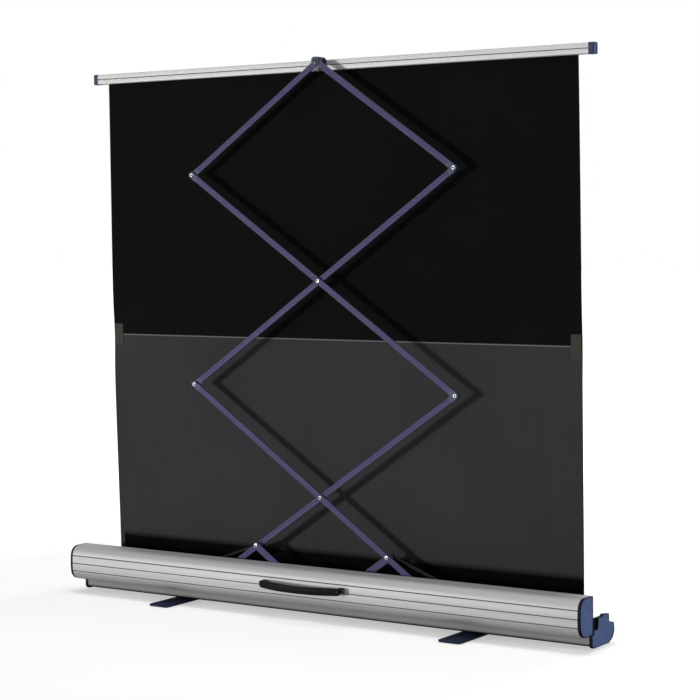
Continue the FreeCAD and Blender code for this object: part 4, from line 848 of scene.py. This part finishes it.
def tube_section():
    """Section of the flat tube across its thickness and height, with a shallow groove on each face."""
    half_depth, half_height = TUBE_DEPTH / 2, TUBE_HEIGHT / 2
    groove = TUBE_GROOVE / 2
    mouth = groove + TUBE_GROOVE_DEPTH
    sunk = half_depth - TUBE_GROOVE_DEPTH
    corners = []
    for side in (1, -1):
        corners += [(-side * half_depth, side * half_height, TUBE_ROUND),
                    (side * half_depth, side * half_height, TUBE_ROUND)]
        for depth, height in ((half_depth, mouth), (sunk, groove), (sunk, -groove), (half_depth, -mouth)):
            corners.append((side * depth, side * height, TUBE_GROOVE_ROUND))
    inner_depth, inner_height = half_depth - TUBE_WALL, half_height - TUBE_WALL
    inner = oblong((-inner_depth, inner_depth), (-inner_height, inner_height), 0.4 * mm, 3)
    return [rounded(corners, 5), inner]


def layer_of(node):
    """The middle of a node's thickness along Y."""
    low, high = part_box(node)
    return (low.y + high.y) / 2


def plate_along(outline, thickness):
    """A flat plate from an outline in X and Z, thickness across Y, its middle at zero."""
    count = len(outline)
    sheets = []
    for side in (-1, 1):
        sheets.append(np.column_stack([outline[:, 0], np.full(count, side * thickness / 2), outline[:, 1]]))
    faces = filled([outline]) + filled([outline], count) + grid_faces(2, count, close_columns=True)
    return np.concatenate(sheets), faces


def fitting_outline():
    """Side view of a fitting: a round nose on the pivot that widens to the tube."""
    nose = arc((0, 0), FITTING_RADIUS, 110, 250, 22)
    half = TUBE_HEIGHT / 2
    return np.concatenate([nose, [(FITTING_LENGTH, -half), (FITTING_LENGTH, half)]])


def fitting_shapes():
    """A fitting with its pivot at zero, and the three small raised ribs across its face."""
    rib = oblong((-FITTING_RIB_HALF, FITTING_RIB_HALF), (-FITTING_RIB_REACH, FITTING_RIB_REACH), 1 * mm, 3)
    return [plate_along(fitting_outline(), TUBE_DEPTH)] + [
        plate_along(rib + np.array([place, 0]), TUBE_DEPTH + 2 * FITTING_RIB_RISE) for place in FITTING_RIBS]


def make_arm(node, ends):
    """An arm's tube, and the two fittings that carry it on its pivots, in the arm's own layer."""
    start, stop = (np.array([PIVOT[end][0], layer_of(node), PIVOT[end][2]]) for end in ends)
    run = stop - start
    length = np.linalg.norm(run)
    section = tube_section()
    tube = drawn(section, 0.0, length - 2 * FITTING_LENGTH)
    uv = np.column_stack([tube[0][:, 0], np.tile(np.concatenate(section)[:, 1], 2)])
    placed = along(tube, start + run / length * FITTING_LENGTH, run)
    make(node + "_tube", [node], [(placed, tube_metal)], bevel=0.2 * mm, uv=uv)
    parts = []
    for spot, towards in ((start, run), (stop, -run)):
        parts += [(along(shape, spot, towards), fitting_plastic) for shape in fitting_shapes()]
    make(node + "_fitting_mouldings", [node + "_fittings"], parts, bevel=0.6 * mm)


for node, ends in ARMS.items():
    make_arm(node, ends)

HEAD_RADIUS = 5.5 * mm
HEAD_HEIGHT = 2 * mm
SHANK_RADIUS = 3 * mm
HOLE_RADIUS = 3.1 * mm
HOLE_DEPTH = 1.4 * mm
RING_INSIDE = 0.4 * mm
HOLE_DISC_THICKNESS = 0.3 * mm
RIVETS = {
    "lower_arm_front_rivets": ("lower_cross_pivot", "middle_left_pivot"),
    "upper_arm_front_rivets": ("middle_right_pivot", "upper_cross", "upper_left_pivot"),
    "upper_arm_back_rivet": ("upper_right_pivot",),
}
# The upper crossing lies twice as far from the lower one as that lies from the base pivot.
lower_cross = PIVOT["lower_cross_pivot"]
PIVOT["upper_cross"] = lower_cross + 2 * (lower_cross - BASE_PIVOT)


def rivet_profile(length):
    """Tubular rivet: on each head a rolled ring round an open middle, as a turned section. The ring's
    places are (share of the head's height, share of its radius)."""
    ring = [(0.9, 0.62), (1.0, 0.72), (0.85, 0.87), (0.55, 0.97), (0.2, 1.0), (0.0, 1.0)]
    first = [(HOLE_DEPTH, HOLE_RADIUS), (RING_INSIDE, HOLE_RADIUS)]
    first += [(HEAD_HEIGHT * (1 - out), HEAD_RADIUS * wide) for out, wide in ring]
    first.append((HEAD_HEIGHT, SHANK_RADIUS))
    return first + [(length - place, wide) for place, wide in first[::-1]]


def disc(start, thickness, radius, steps):
    """A round disc about X from start on, as a turned section."""
    return turned([(start, radius), (start + thickness, radius)], steps)


def make_rivets(node, names):
    """Rivets on the named pivots, each with a black disc at the floor of the open middle of both heads, which
    makes the middle dark.
    """
    low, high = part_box(node)
    length = high.y - low.y
    parts = []
    for name in names:
        spot = (PIVOT[name][0], low.y, PIVOT[name][2])
        parts.append((along(turned(rivet_profile(length), 36), spot, (0, 1, 0)), steel))
        for place in (HOLE_DEPTH - HOLE_DISC_THICKNESS, length - HOLE_DEPTH):
            hole_disc = disc(place, HOLE_DISC_THICKNESS, HOLE_RADIUS, 36)
            parts.append((along(hole_disc, spot, (0, 1, 0)), black_plastic))
    make(node + "_rolled", [node], parts, smooth=50)


for node, names in RIVETS.items():
    make_rivets(node, names)

LINK_WIDTH = 20 * mm


def link_outline(length):
    """A short link: a flat bar with fully round ends."""
    first = arc((0, 0), LINK_WIDTH / 2, 90, 270, 22)
    last = arc((length, 0), LINK_WIDTH / 2, -90, 90, 22)
    return np.concatenate([first, last])


def make_link(node, far):
    """A link from the base pivot to a far one, in the link's own layer."""
    low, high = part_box(node)
    start, stop = (np.array([spot[0], layer_of(node), spot[2]]) for spot in (BASE_PIVOT, PIVOT[far]))
    plate = plate_along(link_outline(np.linalg.norm(stop - start)), high.y - low.y)
    placed = along(plate, start, stop - start)
    make(node + "_bar", [node], [(placed, tube_metal)], bevel=0.8 * mm, uv=plate[0][:, (0, 2)])


make_link("link_front", "lower_left_pivot")
make_link("link_back", "gas_pivot_right")


# ---- the cloth ----

CLOTH_THICKNESS = 0.5 * mm
CLOTH_COLUMNS = 220
CLOTH_ROWS = 60
lower_low, lower_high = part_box("screen_fabric_lower")
upper_low, upper_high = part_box("screen_fabric_upper")
SEAM_Z = lower_high.z
CLOTH_BOTTOM = lower_low.z
CLOTH_TOP = upper_high.z
BOTTOM_Y = lower_high.y - CLOTH_THICKNESS / 2
TOP_Y = upper_low.y + CLOTH_THICKNESS / 2
EDGE_BOW = 3.5 * mm
# The ripples' height, and their two waves: radians for each metre across and up, start, and share.
RIPPLE = 0.7 * mm
RIPPLE_WAVES = ((9.1, 1.7, 0.0, 1.0), (17.3, -2.1, 1.0, 0.6))
# How far from the seam the ripples reach most of their height, and how the side edges curl to the
# rear: by how much, and over which share of half the width.
SEAM_CALM = 80 * mm
EDGE_CURL = 4 * mm
CURL_SHARE = 0.012


def cloth_rise(z):
    """Share of the way from the roller to the bar."""
    return (z - CLOTH_BOTTOM) / (CLOTH_TOP - CLOTH_BOTTOM)


def cloth_point(across, z, off):
    """A point on the hanging cloth. The side edges bow out by a sine over the height, and the cloth
    has weak upright ripples that fade by a squared sine at the roller and the bar, and at the seam."""
    rise = cloth_rise(z)
    x = across * (CLOTH_HALF + EDGE_BOW * np.sin(math.pi * rise))
    calm = np.sin(math.pi * np.clip(rise, 0, 1)) ** 2 * (1 - np.exp(-((z - SEAM_Z) / SEAM_CALM) ** 2))
    ripple = sum(share * np.sin(x * along_x + z * along_z + start)
                 for along_x, along_z, start, share in RIPPLE_WAVES)
    curl = np.exp((np.abs(across) - 1) / CURL_SHARE)
    y = BOTTOM_Y + (TOP_Y - BOTTOM_Y) * rise + calm * (RIPPLE * ripple - EDGE_CURL * curl) + off
    return np.stack([x, y, z], -1)


def two_sided(rows, columns):
    """Faces of a thin closed sheet from two grids of points that follow each other: one side, the
    other side, and the rim that joins their edges."""
    count = rows * columns
    back = [face[::-1] for face in grid_faces(rows, columns, start=count)]
    number = np.arange(count).reshape(rows, columns)
    edge = np.concatenate([number[0, :-1], number[:-1, -1], number[-1, :0:-1], number[:0:-1, 0]])
    after = np.roll(edge, -1)
    rim = np.column_stack([after, edge, edge + count, after + count]).tolist()
    return grid_faces(rows, columns), back, rim


def make_cloth(name, nodes, low, high, rows, finishes, off=0.0, thickness=CLOTH_THICKNESS, reach=1.0):
    """A thin closed sheet of cloth between two heights, reach being the share of its width, with its
    own finish on the rear, the front and the cut edge."""
    across, z = np.meshgrid(np.linspace(-reach, reach, CLOTH_COLUMNS), np.linspace(low, high, rows))
    spots = np.concatenate([cloth_point(across, z, off + side * thickness / 2).reshape(-1, 3)
                            for side in (-1, 1)])
    mesh = bpy.data.meshes.new(name)
    sides = two_sided(rows, CLOTH_COLUMNS)
    mesh.from_pydata(spots.tolist(), [], [face for faces in sides for face in faces])
    kinds = np.repeat((0, 1, 2), [len(faces) for faces in sides])
    mesh.polygons.foreach_set("material_index", kinds)
    for material in finishes:
        mesh.materials.append(material)
    give_places(mesh, spots[:, (0, 2)])
    finished(mesh, 0, 40)
    piece = in_scene(name, mesh)
    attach(piece, "base")
    if nodes:
        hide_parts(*nodes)
    return piece


def folds(piece):
    """Gives the piece its own copy of its mesh."""
    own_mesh(piece)


lower_cloth = make_cloth("lower_cloth", ["screen_fabric_lower"], CLOTH_BOTTOM, SEAM_Z, CLOTH_ROWS,
                         (lower_back, front_face, cut_edge))
upper_cloth = make_cloth("upper_cloth", ["screen_fabric_upper"], SEAM_Z, CLOTH_TOP, CLOTH_ROWS,
                         (upper_back, front_face, cut_edge))
# The weld of the seam is a thin line on the cloth's rear that ends before the side edges.
SEAM_HALF = 1.75 * mm
seam_line = make_cloth("seam_weld_line", [], SEAM_Z - SEAM_HALF, SEAM_Z + SEAM_HALF, 3,
                       (seam_tape, seam_tape, seam_tape), off=-0.45 * mm, thickness=0.3 * mm, reach=0.985)

TAB_REACH = 31 * mm
TAB_THICKNESS = 0.8 * mm
TAB_OFF = 1.1 * mm


def make_tabs():
    """Two vinyl tabs welded over the seam at the side edges, with rounded corners."""
    low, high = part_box("seam_tabs")
    outline = oblong((CLOTH_HALF - TAB_REACH, high.x), (low.z, high.z), (3 * mm, mm, mm, 3 * mm), 5)
    parts = []
    for side in (-1, 1):
        spots, faces = plate_along(outline, TAB_THICKNESS)
        spots = spots * np.array([side, 1, 1])
        spots[:, 1] += BOTTOM_Y + (TOP_Y - BOTTOM_Y) * cloth_rise(spots[:, 2]) - TAB_OFF
        parts.append(((spots, faces), tab_vinyl))
    vertices = np.concatenate([part[0][0] for part in parts])
    return make("seam_tab_pair", ["seam_tabs"], parts, bevel=0.2 * mm, uv=vertices[:, (0, 2)])


tabs = make_tabs()
for piece in (lower_cloth, upper_cloth, seam_line, tabs):
    folds(piece)

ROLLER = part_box("roller_tube")
ROLLER_SPOT = ((ROLLER[0].y + ROLLER[1].y) / 2, (ROLLER[0].z + ROLLER[1].z) / 2)
ROLLER_RADIUS = (ROLLER[1].y - ROLLER[0].y) / 2
WOUND_TURNS = 3
WOUND_GAP = 0.06 * mm
WOUND_THICKNESS = 0.4 * CLOTH_THICKNESS
WOUND_PITCH = 0.92 * CLOTH_THICKNESS
WOUND_COLUMNS = 24


def make_wound_cloth():
    """The last turns on the roller: a sheet wound in an Archimedean spiral. It is drawn thinner than
    the cloth, so that its turns stay apart."""
    steps = 72 * WOUND_TURNS
    angle = np.linspace(0, 2 * math.pi * WOUND_TURNS, steps)
    middle = ROLLER_RADIUS + WOUND_GAP + WOUND_PITCH * angle / (2 * math.pi) + WOUND_THICKNESS / 2
    x = np.linspace(-CLOTH_HALF, CLOTH_HALF, WOUND_COLUMNS)
    layers = []
    for off in (WOUND_THICKNESS / 2, -WOUND_THICKNESS / 2):
        y = ROLLER_SPOT[0] + (middle + off) * np.cos(angle)
        z = ROLLER_SPOT[1] + (middle + off) * np.sin(angle)
        layers.append(np.stack(np.broadcast_arrays(x, y[:, None], z[:, None]), -1).reshape(-1, 3))
    length = np.tile(np.repeat(angle * ROLLER_RADIUS, WOUND_COLUMNS), 2)
    uv = np.column_stack([np.tile(x, 2 * steps), length])
    shape = (np.concatenate(layers), sum(two_sided(steps, WOUND_COLUMNS), []))
    piece = make("wound_cloth_turns", ["wound_fabric"], [(shape, upper_back)], uv=uv, weld=False)


make_wound_cloth()


# ---- the top bar ----

bar_low, bar_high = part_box("top_bar")
BAR_Y = (bar_low.y + bar_high.y) / 2
BAR_ROUND = 3 * mm
BAR_WALL = 1.6 * mm
BAR_GROOVE = 2 * mm
SLOT_HALF = 2.2 * mm
SLOT_ROOM = 4 * mm
SLOT_LIP = 2 * mm


def bar_section():
    """Section of the top bar: a rounded box with a groove in its rear face and a keyhole slot below."""
    rear, front, low, high = bar_low.y, bar_high.y, bar_low.z, bar_high.z
    middle = (low + high) / 2
    lip = low + SLOT_LIP
    ceiling = lip + 2 * SLOT_ROOM
    corners = [(rear, low, BAR_ROUND)]
    slot = [(SLOT_HALF, low, 0.4 * mm), (SLOT_HALF, lip, 0.2 * mm),
            (SLOT_ROOM, lip, 0.3 * mm), (SLOT_ROOM, ceiling, 0.6 * mm)]
    corners += [(BAR_Y - off, height, radius) for off, height, radius in slot]
    corners += [(BAR_Y + off, height, radius) for off, height, radius in slot[::-1]]
    corners += [(front, low, BAR_ROUND), (front, high, BAR_ROUND), (rear, high, BAR_ROUND)]
    groove = [(0, BAR_GROOVE / 2, 0.3 * mm), (BAR_GROOVE / 2, BAR_GROOVE / 4, 0.2 * mm)]
    corners += [(rear + depth, middle + off, radius) for depth, off, radius in groove]
    corners += [(rear + depth, middle - off, radius) for depth, off, radius in groove[::-1]]
    inner = oblong((rear + BAR_WALL + BAR_GROOVE / 2, front - BAR_WALL),
                   (ceiling + BAR_WALL, high - BAR_WALL), 1 * mm, 4)
    return [rounded(corners, 6), inner]


bar = make("top_bar_extrusion", ["top_bar"], [(drawn(bar_section(), bar_low.x, bar_high.x), bar_metal)],
           bevel=0.2 * mm)
bar_middle = (bar_low.z + bar_high.z) / 2
# The window round the groove is a little wider than half of it to each side, and as deep.
window = 0.6 * BAR_GROOVE
# Painted shade: the faces of the bar's groove get the darker metal.
lined(bar, groove_painted_shade, [(bar_low.y - mm, bar_low.y + window, bar_middle - window, bar_middle + window)])

BAR_CAP_ROUND = 3.6 * mm
BAR_CAP_RIM = 2.4 * mm
BAR_CAP_DROP = 0.6 * mm
for word, side in (("left", -1), ("right", 1)):
    low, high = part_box("bar_cap_" + word)
    foot, out = (low.x, high.x) if side > 0 else (high.x, low.x)
    outline = oblong((low.y, high.y), (low.z, high.z), BAR_CAP_ROUND, 6)
    make("bar_cap_moulding_" + word, ["bar_cap_" + word], cap_parts(
        outline, foot, out, BAR_WALL, BAR_CAP_RIM, BAR_CAP_DROP, fitting_plastic), smooth=40)

APEX_CHEEK = 3 * mm
APEX_ROOF = 3 * mm
APEX_HALF = 12 * mm
APEX_PLATE = 4 * mm
APEX_SHOULDER = 9 * mm


def crosswise(outline, low, high):
    """An outline in X and Z made solid from one depth to another."""
    spots, faces = plate_along(outline, high - low)
    return spots + np.array([0, (low + high) / 2, 0]), faces


def hump(bottom, top, radius):
    """An outline with a straight foot and large rounds at its top."""
    radii = (radius, radius, APEX_SHOULDER, APEX_SHOULDER)
    return oblong((-APEX_HALF, APEX_HALF), (bottom, top), radii, 8)


def make_apex_bracket():
    """Bracket over the arms' ends: a round cheek behind them, a roof, and a plate on the bar."""
    low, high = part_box("apex_bracket")
    cheek = hump(PIVOT["apex_pivot"][2] - FITTING_RADIUS, high.z, 8 * mm)
    roof = oblong((-APEX_SHOULDER, APEX_SHOULDER), (high.z - APEX_ROOF, high.z),
                  (1 * mm, 1 * mm, 4 * mm, 4 * mm), 6)
    parts = [crosswise(cheek, low.y, low.y + APEX_CHEEK),
             crosswise(roof, low.y + APEX_CHEEK / 2, high.y - APEX_PLATE / 2),
             crosswise(hump(low.z, high.z, 2 * mm), high.y - APEX_PLATE, high.y)]
    make("apex_bracket_moulding", ["apex_bracket"], [(part, fitting_plastic) for part in parts],
         bevel=0.6 * mm)


make_apex_bracket()


# ---- the carrying handle ----

HANDLE_SPOT = PIVOT["handle_swing"]
HANDLE_SPAN = 264 * mm
HANDLE_END = 9 * mm
HANDLE_HEIGHT = 22 * mm
HANDLE_THICKNESS = 12 * mm
HANDLE_BOW = 22 * mm
HANDLE_SETBACK = 13.5 * mm
HANDLE_TILT = math.radians(7)
# The bow is the arc through the grip's two ends and its furthest point.
HANDLE_REACH = HANDLE_SPAN / 2 + HANDLE_END
BOW_RADIUS = (HANDLE_REACH ** 2 + HANDLE_BOW ** 2) / (2 * HANDLE_BOW)
BOW_CENTRE = BOW_RADIUS - HANDLE_SETBACK - HANDLE_BOW
# The share of its half length over which the grip closes, how small its last ring is, squared, so
# that it isn't a point, the power that makes its oval squarish, and its slimming in the middle.
GRIP_CLOSE = 0.08
GRIP_TIP = 1e-6
GRIP_POWER = 0.62
GRIP_WAIST = 0.02
LUG_RADIUS = 5 * mm
LUG_WIDTH = 8 * mm
LUG_HOLE = 2.55 * mm
# The pin cover's section, as places above its seat and radii, in millimetres.
COVER_SECTION = [(0, 3.6), (0.7, 3.6), (1.1, 3.2), (1.3, 2.2), (1.35, 0.8)]
COVER_SINK = 0.6 * mm


def oval(round_share, size):
    """One axis of a squarish oval: a circle's sine or cosine to a power, with its own sign."""
    return np.sign(round_share) * np.abs(round_share) ** GRIP_POWER * size / 2


def grip_skin():
    """The grip: a rounded oval section carried along the bow's arc. It keeps its size to near the
    ends and closes there as a quarter ellipse, and it is a little slimmer in the middle."""
    rows, columns = 120, 40
    share = np.sin(np.linspace(-math.pi / 2, math.pi / 2, rows))[:, None]
    around = np.linspace(0, 2 * math.pi, columns, endpoint=False)[None, :]
    into = np.clip((np.abs(share) - (1 - GRIP_CLOSE)) / GRIP_CLOSE, 0, 1)
    size = np.sqrt(np.maximum(1 - into ** 2, GRIP_TIP))
    full = size * (1 - GRIP_WAIST - GRIP_WAIST * np.cos(2 * math.pi * share))
    angle = share * math.asin(HANDLE_REACH / BOW_RADIUS)
    radius = BOW_RADIUS + oval(np.cos(around), HANDLE_THICKNESS) * full
    up = oval(np.sin(around), HANDLE_HEIGHT) * full
    places = (radius * np.sin(angle), BOW_CENTRE - radius * np.cos(angle), up)
    spots = np.stack(np.broadcast_arrays(*places), -1).reshape(-1, 3)
    last = (rows - 1) * columns
    ends = [list(range(columns)), list(range(last, last + columns))]
    return spots, grid_faces(rows, columns, close_columns=True) + ends


def lug(side):
    """A lug: flat strap with a round nose on the pin, from the pivot out to the grip."""
    nose = arc((0, 0), LUG_RADIUS, 90, -90, 18)
    outline = np.concatenate([nose, [(-HANDLE_SETBACK, -LUG_RADIUS), (-HANDLE_SETBACK, LUG_RADIUS)]])
    hole = arc((0, 0), LUG_HOLE, 0, 345, 24)
    middle = side * HANDLE_SPAN / 2
    return drawn([outline, hole], middle - LUG_WIDTH / 2, middle + LUG_WIDTH / 2)


def pin_cover(side):
    """A low round button on the grip's outer face, over the place where its lug starts."""
    angle = side * math.asin(HANDLE_SPAN / 2 / BOW_RADIUS)
    out = BOW_RADIUS + HANDLE_THICKNESS / 2 - COVER_SINK
    spot = (out * math.sin(angle), BOW_CENTRE - out * math.cos(angle), 0)
    dome = turned(np.array(COVER_SECTION) * mm, 30)
    return along(dome, spot, (math.sin(angle), -math.cos(angle), 0))


def make_handle():
    """Grip, lugs and pin covers, turned down to the angle at which the handle hangs."""
    turn = np.array(Matrix.Rotation(HANDLE_TILT, 3, "X"))
    shapes = [(grip_skin(), grip_rubber), (lug(-1), grip_rubber), (lug(1), grip_rubber),
              (pin_cover(-1), black_plastic), (pin_cover(1), black_plastic)]
    parts = [((spots @ turn.T + HANDLE_SPOT, faces), material) for (spots, faces), material in shapes]
    make("carrying_handle_moulding", ["carrying_handle"], parts, smooth=50)


make_handle()


# ---- the rest: CAD shapes with softened edges ----

# Each finish, the width of its softened edges and the CAD nodes that have them.
FINISHES = [
    (spring_enamel, 0.8 * mm, ["gas_cylinder_left"]),
    (rod_steel, 0.4 * mm, ["gas_rod_left"]),
    (spring_enamel, 0.8 * mm, ["gas_cylinder_right"]),
    (rod_steel, 0.4 * mm, ["gas_rod_right"]),
    (black_enamel, 0.6 * mm, ["centre_bracket"]),
    (steel, 0.3 * mm, ["centre_bracket_screws", "base_pivot_pin"]),
    (black_enamel, 0.5 * mm, ["gas_spring_anchors"]),
    (black_enamel, 0.6 * mm, ["roller_bracket_left", "roller_bracket_right"]),
    (steel, 0.5 * mm, ["roller_spring_shaft"]),
    (steel, 0.3 * mm, ["roller_spring"]),
    (roller_metal, 0.3 * mm, ["roller_tube"]),
    (black_plastic, 0.4 * mm, ["roller_plug_right", "roller_plug_left"]),
    (steel, 0.4 * mm, ["link_front_pin", "link_back_pin"]),
    (black_plastic, 0.8 * mm, ["slider_left", "slider_right"]),
    (steel, 0.2 * mm, ["bar_spline"]),
    (black_enamel, 0.4 * mm, ["apex_pin"]),
    (black_plastic, 0.5 * mm, ["handle_brackets"]),
    (steel, 0.2 * mm, ["handle_pins"]),
    (foot_enamel, 0.5 * mm, ["foot_left", "foot_right"]),
    (rubber, 0.4 * mm, ["foot_pads_left", "foot_pads_right"]),
    (steel, 0.4 * mm, ["foot_bolts"]),
]
for material, bevel, nodes in FINISHES:
    for node in nodes:
        polished(node, material, bevel)

FOOT_PLATE_TOP = 7 * mm
FOOT_RIB_WIDTH = 7 * mm
FOOT_RIB_RISE = 1.1 * mm
FOOT_RIB_SINK = 0.4 * mm
FOOT_RIB_OFFSET = 15 * mm
FOOT_RIB_INNER = 26 * mm
FOOT_RIB_OUTER = 160 * mm
PLUG_RADIUS = 2.7 * mm
PLUG_SINK = 0.1 * mm
PLUG_THICKNESS = 0.6 * mm


def make_trim(name, node, parts, smooth):
    """A small piece of the scene alone, which moves with a node's body."""
    piece = make(name, [], parts, smooth=smooth)
    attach(piece, BODY_OF[node])


def make_foot_ribs(word):
    """Two low rounded ribs along each half of a foot, as a parabola's crown drawn along the foot."""
    low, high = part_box("foot_" + word)
    middle = (low.x + high.x) / 2
    half = FOOT_RIB_WIDTH / 2
    width = np.linspace(-1, 1, 15)
    crown = np.column_stack([width * half, FOOT_RIB_RISE * (1 - width ** 2)])
    outline = np.concatenate([crown, [(half, -FOOT_RIB_SINK), (-half, -FOOT_RIB_SINK)]])
    rib = drawn([outline], FOOT_RIB_INNER, FOOT_RIB_OUTER)
    parts = []
    for side in (-1, 1):
        for towards in (-1, 1):
            spot = (middle + side * FOOT_RIB_OFFSET, 0, FOOT_PLATE_TOP)
            parts.append((along(rib, spot, (0, towards, 0)), foot_enamel))
    make_trim("foot_ribs_" + word, "foot_" + word, parts, 30)


def make_pin_plug(node):
    """A black plug in the rear end of a link's pin."""
    low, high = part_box(node)
    spot = ((low.x + high.x) / 2, low.y, (low.z + high.z) / 2)
    plug = along(disc(-PLUG_SINK, PLUG_THICKNESS, PLUG_RADIUS, 30), spot, (0, 1, 0))
    make_trim(node + "_plug", node, [(plug, black_plastic)], 35)


make_pin_plug("link_front_pin")
make_pin_plug("link_back_pin")
make_foot_ribs("left")
make_foot_ribs("right")

scene = bpy.context.scene
scene.view_settings.view_transform = "Standard"
